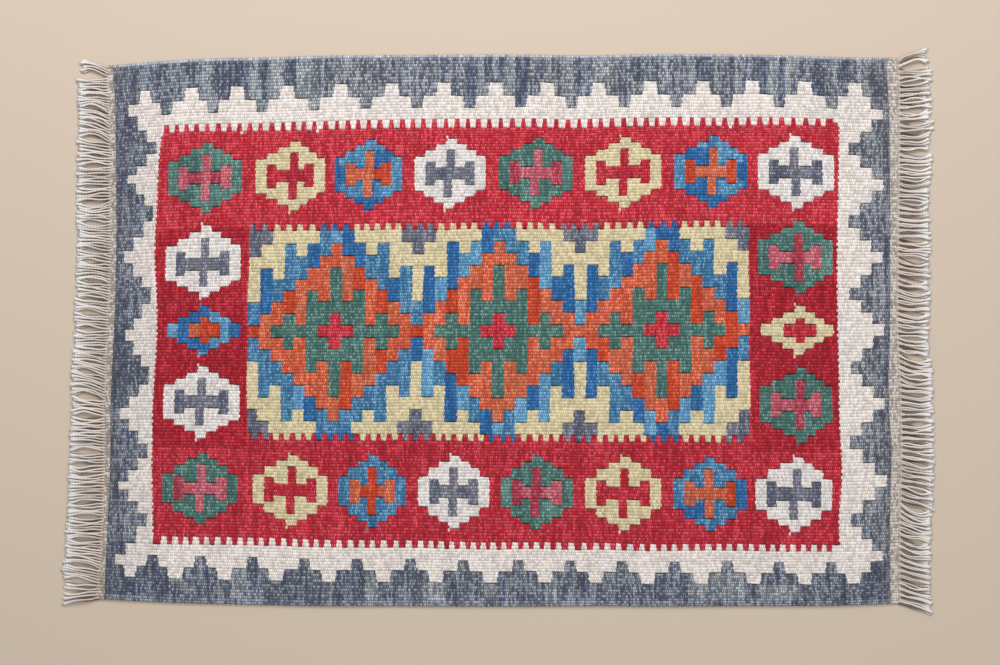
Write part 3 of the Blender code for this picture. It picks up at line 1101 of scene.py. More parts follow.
def new_material(name, roughness, sheen, sheen_tint):
    """A Principled material for fibre, with its fixed values on the shader's own sockets."""
    material = bpy.data.materials.new(name)
    material.use_nodes = True
    shader = material.node_tree.nodes["Principled BSDF"]
    shader.inputs["Roughness"].default_value = roughness
    shader.inputs["Specular IOR Level"].default_value = SPECULAR
    shader.inputs["Sheen Weight"].default_value = sheen
    shader.inputs["Sheen Roughness"].default_value = SHEEN_ROUGHNESS
    shader.inputs["Sheen Tint"].default_value = (*sheen_tint, 1.0)
    print("material", name)
    return material, shader


def bump(tree, shader, height, distance):
    """Bump from a height from 0 to 1."""
    node = tree.nodes.new("ShaderNodeBump")
    node.inputs["Distance"].default_value = distance
    feed(tree, node.inputs["Height"], height)
    feed(tree, shader.inputs["Normal"], node.outputs["Normal"])


# %% [markdown]
# The other helpers are thin covers for single nodes, each named for what it gives.

# %% Colours
def mixed(tree, factor, first, second, blend="MIX"):
    """One colour Mix node; returns its result."""
    node = tree.nodes.new("ShaderNodeMix")
    node.data_type = "RGBA"
    node.blend_type = blend
    feed(tree, node.inputs["Factor"], factor)
    feed(tree, node.inputs["A"], first)
    feed(tree, node.inputs["B"], second)
    return node.outputs["Result"]


def shaded(tree, colour, value):
    """A colour made darker or lighter by a value."""
    grey = tree.nodes.new("ShaderNodeCombineColor")
    for socket in grey.inputs[:3]:
        feed(tree, socket, value)
    return mixed(tree, 1.0, colour, grey.outputs[0], "MULTIPLY")


print("a red for a shader:", [round(share, 3) for share in linear(WOOLS["red"][0])])

# %% Places, attributes and noise
def vector(tree, x, y, z=0.0):
    """Three values as a vector."""
    node = tree.nodes.new("ShaderNodeCombineXYZ")
    for socket, value in zip(node.inputs, (x, y, z)):
        feed(tree, socket, value)
    return node.outputs[0]


def attribute(tree, name):
    """The node of a named attribute of the mesh."""
    node = tree.nodes.new("ShaderNodeAttribute")
    node.attribute_name = name
    return node


def number(tree, name):
    """A named attribute of the mesh as a value."""
    return Value(tree, attribute(tree, name).outputs["Fac"])


def noise_at(tree, place, scale=1.0, detail=2.0):
    """Noise from 0 to 1 around 0.5."""
    node = tree.nodes.new("ShaderNodeTexNoise")
    feed(tree, node.inputs["Vector"], place)
    node.inputs["Scale"].default_value = scale
    node.inputs["Detail"].default_value = detail
    return Value(tree, node.outputs["Fac"])


print("attributes of the cloth:", dye.name, second.name, depth.name)

# %% [markdown]
# A pick of weft shows on every second rib, and half a bead further on the ribs between. So the
# beads of odd ribs are shifted by half, and a pick's number is the same on all the ribs that it
# crosses. A slow noise lets whole stretches slip, as no beater packs each rib alike.

# %% Beads of weft
BEAD = 2.35
BEAD_SLIP = 2.4
Weave = namedtuple("Weave", "along rib pick chance across_bead across_rib")


def beads(tree):
    """What each point knows of the weave.

    Place along in millimetres, count of ribs, number of the pick, three random values for each
    bead, and how near to the middle of its bead and of its rib the point lies, from 0 to 1.
    """
    uv_map = tree.nodes.new("ShaderNodeUVMap")
    uv_map.uv_map = "weave"
    split = tree.nodes.new("ShaderNodeSeparateXYZ")
    feed(tree, split.inputs[0], uv_map.outputs[0])
    along = Value(tree, split.outputs[0]) * 1000.0
    rib = Value(tree, split.outputs[1]) * float(RIBS)
    rib_number = rib.maths("FLOOR")
    odd = rib_number.maths("PINGPONG", 1.0) * 0.5
    slipped = noise_at(tree, vector(tree, along * 0.02, rib_number * 0.35), detail=1.0)
    bead = along / BEAD + (slipped * BEAD_SLIP + odd)
    bead_number = bead.maths("FLOOR")
    chance = tree.nodes.new("ShaderNodeTexWhiteNoise")
    chance.noise_dimensions = "2D"
    feed(tree, chance.inputs["Vector"], vector(tree, bead_number, rib_number))
    separate = tree.nodes.new("ShaderNodeSeparateColor")
    feed(tree, separate.inputs[0], chance.outputs["Color"])
    return Weave(along, rib, bead_number - odd,
                 [Value(tree, socket) for socket in separate.outputs],
                 (bead.maths("FRACT") * math.pi).maths("SINE"),
                 (rib.maths("FRACT") * math.pi).maths("SINE"))


print("a bead is", BEAD, "mm long")

# %% [markdown]
# Uneven dye shows in two ways. The shade drifts in streaks of a pick or two that run across the
# ribs, inside wider bands. And paler hairs show, partly a matter of the pick and partly of the
# bead alone. They are put mostly on the tops of beads, so for the dark wools they also make a
# painted highlight. The `strength` of both belongs to the wool: a heathered border has much, the
# cream hardly any.

# %% Uneven dye
STREAKS, BANDS, DRIFT_MIDDLE = 0.62, 0.40, 0.51
HAIR_EDGE = 3.6


def dye_drift(tree, weave, strength):
    """How much paler (above 0) or deeper (below 0) the dye took at each place."""
    streak = noise_at(tree, vector(tree, weave.along * 0.32, weave.rib * 0.08))
    band = noise_at(tree, vector(tree, weave.along * 0.06, weave.rib * 0.035, 7.0))
    return (streak * STREAKS + band * BANDS - DRIFT_MIDDLE) * strength


def hairs_and_highlights(tree, weave, drift, share, strength):
    """How much of the second colour shows at each place."""
    by_pick = noise_at(tree, vector(tree, weave.pick * 3.37, weave.rib * 0.13), detail=1.0)
    hairs = weave.chance[0] * 0.5 + by_pick * 0.5
    shown = (drift * 1.5 + share - hairs) * HAIR_EDGE + 0.5
    shown = shown.at_least(0.0).at_most(1.0) * 0.9 + 0.1
    # The second colour shows mostly where the bead is full, on the top of bead and rib, so for
    # the dark wools it is a painted highlight as well as paler hairs; the hollows keep the deeper
    # colour.
    # A pale pick of a heathered wool shows down its sides too, so it reads as a short upright.
    full = weave.across_bead**0.6 * weave.across_rib
    heathered = strength**4.0
    return shown * (full * (heathered * -0.42 + 0.85) + (heathered * 0.37 + 0.10))


print("streaks and bands drift by up to", (STREAKS + BANDS) / 2)

# %% [markdown]
# Between two ribs light is lost, and it is lost in a slit most of all. Dark wools show their
# hollows more than pale ones do, since pale wool throws light back into them.

# %% Shade of the hollows
BETWEEN_BEADS, BETWEEN_RIBS = 0.55, 0.54
SLIT_START, SLIT_SHADE = 0.62, 0.82


def hollows(tree, weave, strength):
    """Share of the light that is left between beads, between ribs and in slits."""
    groove = number(tree, "groove")
    contrast = strength * 0.60 + 0.35
    furrow = (groove / FURROW).at_most(1.0) ** 3.0
    between_ribs = furrow * ((weave.across_bead * -0.26 + BETWEEN_RIBS) * contrast)
    between_beads = (weave.across_bead - 0.63) * (contrast * BETWEEN_BEADS)
    slit = ((groove - SLIT_START) * 4.5).at_least(0.0).at_most(SLIT_SHADE)
    return (1.0 - between_ribs) * (between_beads + 1.0) * (1.0 - slit)


print("a slit keeps", round(1 - SLIT_SHADE, 2), "of its light")

# %% [markdown]
# Now the parts come together: the two dyes are mixed by the paler hairs and painted highlights,
# tinted by the batch, and shaded by drift and by the painted shade of the hollows. Each bead also
# has a shade of its own. The bump rounds the beads and lays fine fibres over them.

# %% The wool material
# Batches lean towards violet or towards green as well as light and dark.
VIOLET, LEAFY = (0.99, 0.96, 1.05, 1.0), (1.01, 1.03, 0.95, 1.0)


def wool_material():
    """Dyed wool, beaten down in beads."""
    material, shader = new_material("dyed_wool", 0.92, 0.18, (1.0, 0.95, 0.92))
    tree = material.node_tree
    weave = beads(tree)
    main, other = attribute(tree, "dye"), attribute(tree, "second")
    share = Value(tree, main.outputs["Alpha"])
    strength = Value(tree, other.outputs["Alpha"])

    drift = dye_drift(tree, weave, strength)
    hairs_and_highlight = hairs_and_highlights(tree, weave, drift, share, strength)
    colour = mixed(tree, hairs_and_highlight, main.outputs["Color"], other.outputs["Color"])
    batch = noise_at(tree, vector(tree, weave.along * 0.13, weave.rib * 0.04, 21.0))
    batch = ((batch - 0.5) * 3.0 * strength + 0.5).at_least(0.0).at_most(1.0)
    colour = mixed(tree, 1.0, colour, mixed(tree, batch, VIOLET, LEAFY), "MULTIPLY")
    value = (drift * 1.6 + 1.0) * (weave.chance[2] * 0.44 + 0.78)
    value = value * hollows(tree, weave, strength)
    feed(tree, shader.inputs["Base Color"], shaded(tree, colour, value))

    fibres = noise_at(tree, vector(tree, weave.along * 3.0, weave.rib), 1.6)
    height = weave.across_bead * weave.across_rib * 0.8 + fibres * 0.2
    bump(tree, shader, height, 0.45 * MM)
    return material


cloth = add_piece("kilim_cloth", sheet, wool_material(), "cloth")

# %% [markdown]
# ## The ends
#
# Before the first wool, the weaver put in a few picks of plain cotton. This web keeps the ribs of
# the cloth, and its outer edge is held by one twined cord, behind which the warps come out.

# %% Web end
WEB_COLUMNS = 4
WEB_CREST, WEB_FURROW, WEB_EDGE = 2.35, 1.75, 1.6
WEB_LOW, WEB_SIDE_LOW = 0.35, 0.7
# How much darker the specks make the cotton: the left end is the darker one.
WEB_SPECK_DARKENING = {"left": 1.3, "right": 0.1}
PARTING = 0.3


def web_height(row, outer, top_side):
    """Height of a point of the web over the floor; outer is 1 at its outer edge."""
    furrowed, at_side = row % 2 == 0, row in (0, 2 * RIBS)
    if not top_side and at_side:
        return WEB_SIDE_LOW
    if not top_side:
        return WEB_LOW if furrowed else 0.0
    if outer == 1.0 or at_side:
        return WEB_EDGE
    return WEB_FURROW if furrowed else WEB_CREST


def web_point(side, row, outer):
    """Place of a point of the web, along and across the rug."""
    cloth_column, root_column, outward = {
        "left": (LEFT_CLOTH, LEFT_ROOT, -1.0), "right": (RIGHT_CLOTH, RIGHT_ROOT, 1.0)}[side]
    share = 1 - row_shares[row][0 if side == "left" else 2]
    inner_line, inner_across = end_line(cloth_column, share)
    root_line, root_across = end_line(root_column, share)
    along = inner_line + outward * PARTING
    along += (root_line - along) * outer
    return along, inner_across + (root_across - inner_across) * outer


print("web crests stand", WEB_CREST, "mm high")

# %% [markdown] The strip is a grid, extruded and then bent to its place, as the cloth was.

# %% The strip of a web end
def web_end(side):
    """Ribbed strip between the cloth and the fringe, as a bmesh."""
    strip = bmesh.new()
    bmesh.ops.create_grid(strip, x_segments=WEB_COLUMNS, y_segments=2 * RIBS, size=0.5)
    strip_uv = strip.loops.layers.uv.new("weave")
    tone = strip.verts.layers.float.new("tip")
    speck_darkening = strip.verts.layers.float.new("shade")
    strip.verts.layers.float_vector.new("turn")
    depth_layer = strip.verts.layers.float.new("groove")
    raised = bmesh.ops.extrude_face_region(strip, geom=strip.faces[:])["geom"]
    for vert in (item for item in raised if isinstance(item, bmesh.types.BMVert)):
        vert.co.z = 1.0
    for face in strip.faces:
        face.smooth = True
    for edge in strip.edges:
        rows = {round((0.5 - vert.co.y) * 2 * RIBS) for vert in edge.verts}
        edge.smooth = not (len(rows) == 1 and min(rows) % 2 == 0)
    for vert in strip.verts:
        row = round((0.5 - vert.co.y) * 2 * RIBS)
        outer = round((vert.co.x + 0.5) * WEB_COLUMNS) / WEB_COLUMNS
        along, across = web_point(side, row, outer)
        vert.co = (along, across, web_height(row, outer, vert.co.z > 0.5))
        vert[depth_layer] = FURROW if row % 2 == 0 else CREST
        vert[tone], vert[speck_darkening] = 0.0, WEB_SPECK_DARKENING[side]
        for loop in vert.link_loops:
            loop[strip_uv].uv = (along * MM, row / (2 * RIBS))
    return strip


print("a web end has", 2 * (WEB_COLUMNS + 1) * (2 * RIBS + 1), "vertices")

# %% [markdown]
# ## Yarn
#
# A warp is a two-ply yarn, and over seven hundred of them show here, so each is kept to one
# plain tube of a few dozen faces: a small ring, pushed along the axis step by step with spin.
# Every yarn of the fringe is a copy of it, bent along its own path. Two plies wound on each
# other would take several times the faces. Instead each point keeps where it lies round the yarn
# and how far along, and the material works out the plies from that.

# %% One yarn and one fibre
YARN_SIDES, YARN_STEPS = 5, 10
FIBRE_SIDES, FIBRE_STEPS = 3, 3
UP = Vector((0.0, 0.0, 1.0))
LOOK_AHEAD = 0.02


def straight_tube(name, sides, steps):
    """Closed tube of radius 1 round the axis from x = 0 to x = 1, as a mesh."""
    tube = bmesh.new()
    turned = Matrix.Rotation(math.pi / 2, 4, "Y")
    ring = bmesh.ops.create_circle(tube, segments=sides, radius=1.0, cap_ends=False,
                                   matrix=turned)["verts"]
    bmesh.ops.spin(tube, geom=ring + tube.edges[:], axis=(1.0, 0.0, 0.0), cent=(0.0, 0.0, 0.0),
                   dvec=(1.0 / steps, 0.0, 0.0), angle=0.0, steps=steps)
    bmesh.ops.holes_fill(tube, edges=[edge for edge in tube.edges if edge.is_boundary],
                         sides=sides)
    for face in tube.faces:
        face.smooth = True
    mesh = bpy.data.meshes.new(name)
    tube.to_mesh(mesh)
    tube.free()
    print(name, len(mesh.polygons), "faces")
    return mesh


def bend(shape, source, path, thickness, layers, shade, tone_at):
    """Copy a straight tube into a shape and bend it along a path."""
    before = len(shape.verts)
    shape.from_mesh(source)
    shape.verts.ensure_lookup_table()
    tip, batch, turn = layers
    for vert in shape.verts[before:]:
        progress, beside, over = vert.co
        here, ahead = path(progress), path(progress + LOOK_AHEAD)
        heading = (ahead - here).normalized()
        side = heading.cross(UP).normalized()
        wide, high = thickness(progress)
        vert[tip], vert[batch] = tone_at(progress), shade
        vert[turn] = (beside, over, (here - path(0.0)).length)
        vert.co = here + beside * wide * side + over * high * side.cross(heading)


yarn_mesh = straight_tube("yarn", YARN_SIDES, YARN_STEPS)
fibre_mesh = straight_tube("fibre", FIBRE_SIDES, FIBRE_STEPS)

# %% [markdown]
# The warps come out of the web four at a time, two on top and two sunk deeper, and some
# ninety such bundles make an end. On the floor they cling together in locks that lean this way
# or that. The lock tables are those
# of the construction model: where a lock ends across the rug, where its tips lie, how far it
# reaches, and how much it bows. Within a lock the yarns draw together in wisps.

# %% Locks
# Across the rug: root end, tip of the far strand, tip of the near strand; then reach and bow.
LEFT_LOCKS = (
    (295.0, 315.0, 304.0, 30.0, 0.0),
    (273.0, 293.0, 277.0, 34.0, 0.0),
    (254.0, 273.0, 264.0, 35.0, 0.0),
    (236.0, 259.0, 249.0, 35.0, 0.0),
    (218.0, 244.0, 229.0, 35.0, 0.0),
    (191.0, 222.0, 194.0, 37.0, 0.0),
    (168.0, 189.0, 169.0, 37.0, 0.0),
    (151.0, 165.0, 152.0, 37.0, 0.0),
    (125.0, 146.0, 131.0, 37.0, -1.2),
    (92.0, 125.0, 98.0, 37.0, -1.2),
    (80.0, 93.0, 85.0, 37.0, 0.0),
    (56.0, 81.0, 64.0, 37.0, 0.0),
    (35.0, 59.0, 41.0, 37.0, 0.0),
    (20.0, 36.0, 27.0, 37.0, 0.0),
    (2.0, 21.0, 7.0, 37.0, 0.0),
    (-19.0, 1.0, -16.0, 37.0, 0.0),
    (-36.0, -19.0, -29.0, 37.0, 0.0),
    (-51.0, -33.0, -41.0, 38.0, 0.0),
    (-79.0, -45.0, -68.0, 38.0, 0.0),
    (-97.0, -76.0, -91.0, 37.0, 0.0),
    (-136.0, -98.0, -132.0, 38.0, 0.0),
    (-152.0, -140.0, -149.0, 39.0, 0.0),
    (-193.0, -154.0, -192.0, 40.0, 0.0),
    (-210.0, -197.0, -207.0, 40.0, 0.0),
    (-236.0, -213.0, -233.0, 40.0, 0.0),
    (-272.0, -238.0, -262.0, 40.0, 0.0),
    (-286.0, -267.0, -278.0, 41.0, 0.0),
    (-315.0, -286.0, -309.0, 38.0, 0.0),
)
RIGHT_LOCKS = (
    (306.0, 327.0, 314.0, 33.0, 0.0),
    (288.0, 304.0, 293.0, 37.0, 0.0),
    (267.0, 288.0, 273.0, 34.0, -1.7),
    (257.0, 268.0, 261.0, 36.0, -1.2),
    (243.0, 257.0, 249.0, 35.0, -3.5),
    (232.0, 244.0, 238.0, 38.0, -3.5),
    (210.0, 233.0, 213.0, 35.0, -3.0),
    (193.0, 206.0, 196.0, 38.0, -3.0),
    (178.0, 190.0, 181.0, 36.0, -2.4),
    (151.0, 175.0, 152.0, 35.0, -0.8),
    (132.0, 149.0, 135.0, 34.0, -2.3),
    (109.0, 129.0, 110.0, 36.0, 0.0),
    (88.0, 105.0, 88.0, 36.0, -1.2),
    (65.0, 81.0, 63.0, 36.0, -1.2),
    (52.0, 57.0, 50.0, 36.0, -1.2),
    (24.0, 45.0, 24.0, 37.0, -1.2),
    (-5.0, 19.0, -5.0, 36.0, -1.2),
    (-22.0, -11.0, -28.0, 35.0, 0.0),
    (-47.0, -33.0, -50.0, 37.0, -1.1),
    (-69.0, -55.0, -69.0, 37.0, -1.1),
    (-104.0, -73.0, -102.0, 36.0, -0.6),
    (-124.0, -106.0, -124.0, 36.0, -0.4),
    (-146.0, -129.0, -151.0, 37.0, 1.1),
    (-176.0, -155.0, -180.0, 36.0, 1.1),
    (-195.0, -186.0, -205.0, 37.0, 2.3),
    (-233.0, -209.0, -237.0, 35.0, 0.0),
    (-280.0, -242.0, -285.0, 34.0, 0.0),
    (-315.0, -291.0, -319.0, 35.0, 2.3),
)
print(len(LEFT_LOCKS) + len(RIGHT_LOCKS), "locks")

# %% [markdown]
# In a bundle, two yarns lie on top and two thinner ones are sunk between or beside them, in
# shadow, and their dark brown is painted shadow. At the left the top yarns lie evenly, and at the
# right they cling together in pairs.

# %% Bundles
BUNDLES = 92
# Places of the four yarns across the rug, from the middle of their bundle.
BUNDLE_OFFSETS = {"left": (-1.7, 0.0, 1.6, 3.45), "right": (-0.95, 0.95, 2.75, 4.25)}
SUNK = {"left": (1, 3), "right": (2, 3)}
TOP_RADIUS = {"left": 1.18, "right": 1.15}
SUNK_RADIUS = 0.85
left_end = end_line(LEFT_ROOT, 1.0)[1] - end_line(LEFT_ROOT, 0.0)[1]
print("a bundle is", round(left_end / BUNDLES, 1), "mm wide")

# %% [markdown]
# No two yarns of a bundle lie alike. Each keeps a few small slips: how far it reaches, how far
# its tip strays, a kink where it leaves the web, a slow wave, and how high it arches off the
# floor. Its path is worked out from these, from the web out to the tip.

# %% One yarn of the fringe
# How far a yarn is tucked under the web, how many gather in a wisp, how much they gather, and
# how far the tips of a lock spread again.
TUCK, WISP, GATHER, SPREAD = 2.5, 6, 0.12, 6.0
ROOT_HEIGHT = {True: 0.95, False: 1.35}
SUNK_SHORTER = 1.5
slips = random.Random(11)


def eased(share):
    """Smooth rise from 0 to 1."""
    share = max(0.0, min(1.0, share))
    return share * share * (3 - 2 * share)


class Yarn:
    """One yarn of the fringe: its root, its lock, its place in it and its own small slips."""

    def __init__(self, number, root, lock, place, wisp, side):
        self.number, self.root, self.lock, self.place, self.wisp = number, root, lock, place, wisp
        self.outward = -1.0 if side == "left" else 1.0
        self.sunk = root[2]
        self.radius = SUNK_RADIUS if self.sunk else TOP_RADIUS[side]
        self.reach = lock[3] + slips.uniform(-2.6, 1.8) - (SUNK_SHORTER if self.sunk else 0.0)
        self.stray = slips.gauss(0.0, 0.8)
        self.kink = slips.uniform(-1.3, 1.3)
        self.wave = slips.uniform(0.3, 1.1)
        self.phase = slips.uniform(0.0, 2 * math.pi)
        self.arch = 0.0 if self.sunk else slips.uniform(0.6, 2.4)
        self.base = ROOT_HEIGHT[self.sunk]
        self.layer = 0.0 if self.sunk else (number % 3) * 0.7
        # Sunk yarns get a high shade and turn almost dark brown, as painted shadow; top yarns get
        # a little dirt at random.
        self.shade = slips.uniform(0.8, 1.2) if self.sunk else slips.uniform(0.0, 0.35)

    def point(self, progress):
        """Middle of the yarn; progress 0 is under the web and 1 is the tip."""
        _, tip_far, tip_near, _, bow = self.lock
        back = TUCK / self.reach
        share = max(progress * (1 + back) - back, 0.0)
        gather = eased((share - 0.15) / 0.5) - 0.65 * eased((share - 0.7) / 0.3)
        place = self.place + (self.wisp - self.place) * GATHER * gather
        place += (self.place - 0.5) * SPREAD / (tip_far - tip_near) * eased((share - 0.6) / 0.4)
        tip = tip_far + (tip_near - tip_far) * place + self.stray * eased(share)
        lean = 0.8 * (1 - max(1 - share, 0.0) ** 3) + 0.2 * eased(share)
        along = self.root[0] + self.outward * self.reach * (progress * (1 + back) - back)
        across = self.root[1] + (tip - self.root[1]) * lean
        across += 4 * share * (1 - share) * bow
        across += self.kink * eased(6 * share) * max(1 - share, 0.0) ** 2
        across += self.wave * eased(3 * share) * math.sin(5.5 * share + self.phase)
        height = self.base + self.arch * math.sin(math.pi * min(share, 1.0))
        height += self.layer * eased(share) * 0.5 - 0.35 * share
        lowest = self.thickness(progress)[1] + 0.05
        return Vector((along, across, max(height, lowest)))

    def thickness(self, progress):
        """Half width and half height of the yarn, which comes untwisted and flat at its tip."""
        radius = self.radius + 0.07 * math.sin(9.0 * progress + self.number)
        loose = progress**6
        return radius * (1 + 0.80 * loose), radius * (1 - 0.50 * loose)


print("yarns of a wisp:", WISP)

# %% [markdown]
# Bundles are spread evenly along the edge of the web. Each yarn then goes to the lock in whose
# stretch its root lies, and its place among the others there decides where its tip ends up.

# %% Yarns of an end
def fringe_yarns(side, locks):
    """All the yarns of one end, from the far side to the near one."""
    column = LEFT_ROOT if side == "left" else RIGHT_ROOT
    roots = []
    for bundle in range(BUNDLES):
        x, y = end_line(column, 1 - (bundle + 0.5) / BUNDLES)
        roots += [(x, y - offset, k in SUNK[side])
                  for k, offset in enumerate(BUNDLE_OFFSETS[side])]
    yarns, above = [], math.inf
    for lock in locks:
        inside = [root for root in roots if lock[0] < root[1] <= above]
        above = lock[0]
        wisps = max(1, round(len(inside) / WISP))
        for k, root in enumerate(inside):
            place = (k + 0.5) / len(inside)
            wisp = (math.floor(place * wisps) + 0.5) / wisps
            yarns.append(Yarn(len(yarns), root, lock, place, wisp, side))
    return yarns


print("yarns of an end:", BUNDLES * len(BUNDLE_OFFSETS["left"]))

# %% [markdown]
# Two more things make an end look like cotton: a thin cord, twined along the edge of the web to
# hold the last pick, and the loose fibres of each cut tip.

# %% Cord and frays
FRAYS = 6
CORD_HEIGHT, CORD_TURN, CORD_RADIUS = 1.5, 0.45, 0.5
CORD_SHADE, CORD_TONE = 0.3, 0.35
FRAY_ROOT, FRAY_TAPER = 0.42, 0.26


def add_cord(shape, side, layers):
    """Two-ply cord twined along the outer edge of the web, half a turn for each bundle."""
    column = LEFT_ROOT if side == "left" else RIGHT_ROOT
    for ply in (0.0, math.pi):
        def path(progress):
            x, y = end_line(column, 1 - progress)
            angle = math.pi * BUNDLES * progress + ply
            return Vector((x + CORD_TURN * math.cos(angle), y,
                           CORD_HEIGHT + CORD_TURN * math.sin(angle)))

        bend(shape, cord_mesh, path, lambda progress: (CORD_RADIUS, CORD_RADIUS), layers,
             CORD_SHADE, lambda progress: CORD_TONE)


def add_frays(shape, yarn, layers):
    """A few loose fibres at the tip of a yarn."""
    tip = yarn.point(0.96)
    heading = (yarn.point(1.0) - tip).normalized()
    for _ in range(FRAYS):
        length = slips.uniform(1.6, 4.0)
        turned = Matrix.Rotation(slips.uniform(-0.8, 0.8), 3, "Z") @ heading
        curl = slips.uniform(-0.8, 0.8)
        sink = slips.uniform(-0.3, 0.5)

        def path(progress):
            far = tip + turned * length * progress
            far.y += curl * progress**2
            far.z = max(0.5, far.z - sink * progress)
            return far

        bend(shape, fibre_mesh, path, lambda progress: (FRAY_ROOT - FRAY_TAPER * progress,) * 2,
             layers, 0.0, lambda progress: 1.0)


cord_mesh = straight_tube("cord", 4, 4 * BUNDLES)

# %% [markdown]
# Web, cord, yarns and frays of one end go into one bmesh, as they lie on each other and never
# move apart.

# %% Fringe
# How far a yarn's root has gone towards its paler tip colour, from 0 to 1; its tip is at 1. The
# darkening towards the root is partly dirt and partly painted shade near the web.
ROOT_TONE = 0.25


def fringe(side, locks):
    """Web end, twined edge cord and yarns of one end, as one bmesh."""
    shape = web_end(side)
    floats = shape.verts.layers.float
    layers = floats["tip"], floats["shade"], shape.verts.layers.float_vector["turn"]
    add_cord(shape, side, layers)
    yarns = fringe_yarns(side, locks)
    for yarn in yarns:
        bend(shape, yarn_mesh, yarn.point, yarn.thickness, layers, yarn.shade,
             lambda progress: ROOT_TONE + (1 - ROOT_TONE) * progress)
        add_frays(shape, yarn, layers)
    print(side, len(yarns), "yarns")
    return shape


# %% [markdown]
# ## Cotton, as a material
#
# Undyed cotton is cream and never clean. In the web its beads are speckled with dirt, and the
# left end is darker than the right; the furrows and the gaps between beads get painted shade. A
# yarn is paler towards its tip and darker towards its root, partly dirt and partly painted shade
# near the web. Along it, two plies wind round each other, and the line between them turns once in
# `PLY_TURN` millimetres; the shade comes from the angle round the yarn that each point kept.

# %% Colour of the web
DIRTY_WEB, CLEAN_WEB = (0.36, 0.30, 0.26, 1.0), (0.88, 0.81, 0.75, 1.0)


def web_colour(tree, weave, shade, place):
    """Speckled cotton, with painted shade between its ribs and beads."""
    grain = noise_at(tree, place, 900.0) * 1.5 - 0.75
    speckle = (weave.chance[0] + grain).at_least(0.0) ** (shade + 0.9)
    # Painted shade: darker in the furrows and towards the edges of each bead.
    value = (1.0 - number(tree, "groove") ** 2.0) * (weave.across_bead * 0.28 + 0.76)
    return shaded(tree, mixed(tree, speckle, DIRTY_WEB, CLEAN_WEB), value)


print("clean web:", CLEAN_WEB[:3])

# %% [markdown]
# Sunk yarns and the sides of the others get little light, and shape alone shows too little of
# that in yarn this fine. So the material darkens a yarn down its sides, most of all behind the
# web.

# %% Colour of the yarn
PLY_TURN = 7.0
# The root colour is warmer and darker than the tip: partly dirt, partly painted shade near the
# web.
YARN_ROOT, YARN_TIP = (0.94, 0.81, 0.71, 1.0), (0.97, 0.94, 0.91, 1.0)
# A dark brown: dirt on the top yarns, and painted shadow on the sunk ones.
DIRT_AND_SHADOW_BROWN, SHADOW = (0.16, 0.085, 0.04, 1.0), (0.36, 0.25, 0.17, 1.0)


def plies(tree):
    """How full the ply is at a point, and how far up the yarn's side the point lies."""
    turn = tree.nodes.new("ShaderNodeSeparateXYZ")
    feed(tree, turn.inputs[0], attribute(tree, "turn").outputs["Vector"])
    beside, over, far = (Value(tree, socket) for socket in turn.outputs)
    angle = over.maths("ARCTAN2", beside) + far * (2 * math.pi / PLY_TURN)
    return angle.maths("COSINE").maths("ABSOLUTE"), over.at_least(0.0) ** 0.6


def yarn_colour(tree, tip, shade, ply, above, place):
    """Cotton yarn: dirt and painted shade towards its root, and painted shade down its sides."""
    colour = mixed(tree, tip, YARN_ROOT, YARN_TIP)
    dirt_and_shade = (shade * 0.85 + noise_at(tree, place, 60.0) * 0.15) * (1.0 - tip**4.0)
    colour = mixed(tree, dirt_and_shade.at_most(1.0), colour, DIRT_AND_SHADOW_BROWN)
    lit = (ply * 0.24 + 0.80) * (above + 0.12)
    # Behind the web the yarns lie close, so their sides are darkest there.
    close = (tip * -3.0 + 1.75).at_least(0.0) * (1.0 - above)
    lit = (lit - close * 0.45).at_least(0.0)
    # At the tip the plies have come untwisted and lie open to the light.
    lit = ((lit - 1.0) * (1.0 - tip**5.0) + 1.0).at_most(1.0)
    return mixed(tree, lit, mixed(tree, 1.0, colour, SHADOW, "MULTIPLY"), colour)


print("a ply winds once in", PLY_TURN, "mm")

# %% [markdown]
# One material serves web, cord and yarn. An attribute says whether a point lies on the web, and
# the material takes the colour and the relief of the web there and those of the yarn elsewhere.

# %% The cotton material
# The attribute tip is 0 on the web and more than this on cord, yarn and frays.
ON_WEB_BELOW = 0.1


def cotton_material():
    """Undyed cotton: a speckled web, and yarn that is paler towards its tips, as dirt and painted
    shade fade.
    """
    material, shader = new_material("undyed_cotton", 0.9, 0.15, (1.0, 0.98, 0.95))
    tree = material.node_tree
    weave = beads(tree)
    tip, shade = number(tree, "tip"), number(tree, "shade")
    on_web = tip.maths("LESS_THAN", ON_WEB_BELOW)
    place = tree.nodes.new("ShaderNodeTexCoord").outputs["Object"]
    ply, above = plies(tree)
    colour = mixed(tree, on_web, yarn_colour(tree, tip, shade, ply, above, place),
                   web_colour(tree, weave, shade, place))
    feed(tree, shader.inputs["Base Color"], colour)

    fibres = noise_at(tree, place, 1800.0)
    height = (fibres * 0.4 + weave.across_bead * weave.across_rib * on_web
              + ply * (1.0 - on_web))
    bump(tree, shader, height, 0.3 * MM)
    return material


cotton = cotton_material()
for side, locks in (("left", LEFT_LOCKS), ("right", RIGHT_LOCKS)):
    end = add_piece(f"kilim_fringe_{side}", fringe(side, locks), cotton, f"fringe_{side}")
for mesh in (yarn_mesh, fibre_mesh, cord_mesh):
    bpy.data.meshes.remove(mesh)
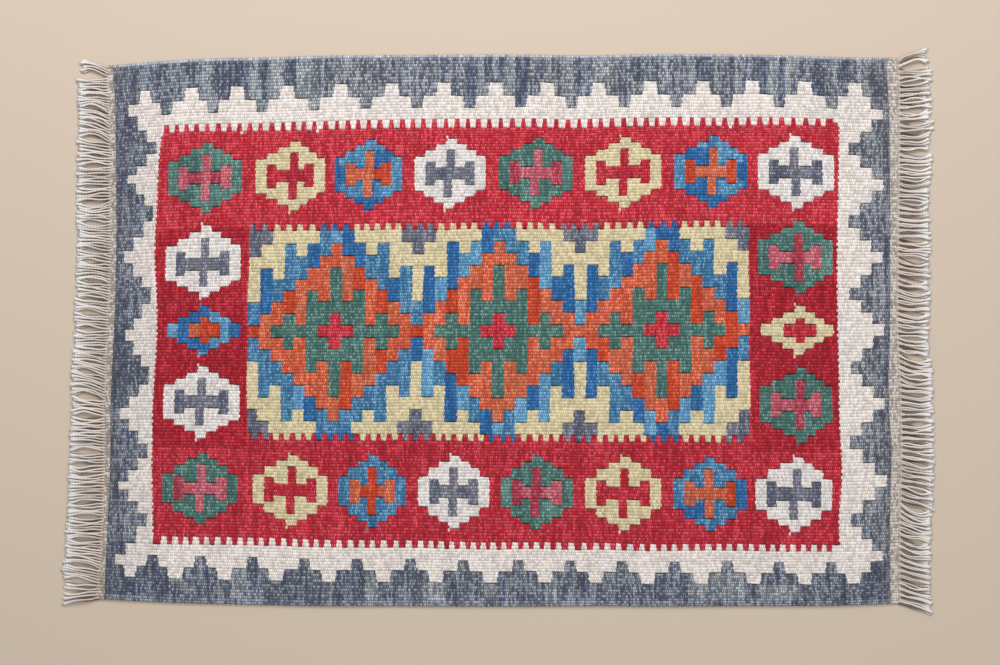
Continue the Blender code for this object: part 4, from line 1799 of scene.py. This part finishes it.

# %% [markdown]

# %% [markdown]
# ## The studio
#
# A plain pale floor keeps the rug's own colours clear. It lies a hair under the rug, so the
# underside and the floor don't flicker into each other.

# %% Floor
FLOOR_SIZE, FLOOR_DROP = 4.0, 0.2
FLOOR_COLOUR, FLOOR_ROUGHNESS = (214, 196, 176), 0.7
floor_shape = bmesh.new()
bmesh.ops.create_grid(floor_shape, x_segments=1, y_segments=1, size=FLOOR_SIZE)
floor_mesh = bpy.data.meshes.new("floor")
floor_shape.to_mesh(floor_mesh)
floor_shape.free()
floor = bpy.data.objects.new("floor", floor_mesh)
floor.location.z = -FLOOR_DROP * MM
bpy.context.scene.collection.objects.link(floor)
floor_material = bpy.data.materials.new("pale_floor")
floor_material.use_nodes = True
floor_shader = floor_material.node_tree.nodes["Principled BSDF"]
floor_shader.inputs["Base Color"].default_value = (*linear(FLOOR_COLOUR), 1.0)
floor_shader.inputs["Roughness"].default_value = FLOOR_ROUGHNESS
floor_mesh.materials.append(floor_material)
print("floor", FLOOR_DROP, "mm under the rug")

# %% [markdown]
# Ribs only show when light falls across them. So a wide window on the far side lights the rug
# at a slant, and a weak fill from above and a pale sky keep the furrows from going black.

# %% Light
def area_light(name, power, size, place, aim):
    """A soft rectangular light that faces a point."""
    data = bpy.data.lights.new(name, "AREA")
    data.shape = "RECTANGLE"
    data.size, data.size_y = size
    data.energy = power
    light = bpy.data.objects.new(name, data)
    light.location = place
    light.rotation_euler = (Vector(aim) - Vector(place)).to_track_quat("-Z", "Y").to_euler()
    bpy.context.scene.collection.objects.link(light)
    print(name, power, "W")


RUG_MIDDLE = (0.0, 0.0, 0.0)
SKY_COLOUR, SKY_STRENGTH = (0.97, 0.98, 1.0, 1.0), 0.35
area_light("window", 41.0, (2.4, 1.2), (-0.1, 1.7, 1.5), RUG_MIDDLE)
area_light("fill", 17.0, (2.5, 2.5), (0.4, -0.8, 2.4), RUG_MIDDLE)
world = bpy.data.worlds.new("studio")
world.use_nodes = True
sky = world.node_tree.nodes["Background"]
sky.inputs["Color"].default_value = SKY_COLOUR
sky.inputs["Strength"].default_value = SKY_STRENGTH
bpy.context.scene.world = world
bpy.context.scene.view_settings.view_transform = "Standard"

# %% [markdown]
# The camera hangs almost straight over the rug. It is tilted by so little that the far side
# looks only a touch shorter than the near one.

# %% Camera
DISTANCE = 1.597
TILT = math.radians(2.57)
LENS, SENSOR = 50.0, 36.0
camera_data = bpy.data.cameras.new("camera")
camera_data.lens = LENS
camera_data.sensor_width = SENSOR
camera = bpy.data.objects.new("camera", camera_data)
camera.location = (0.0, -DISTANCE * math.sin(TILT), DISTANCE * math.cos(TILT))
camera.rotation_euler = (TILT, 0.0, 0.0)
bpy.context.scene.collection.objects.link(camera)
bpy.context.scene.camera = camera
print("camera", round(camera.location.z, 3), "m over the floor")

# %% [markdown]
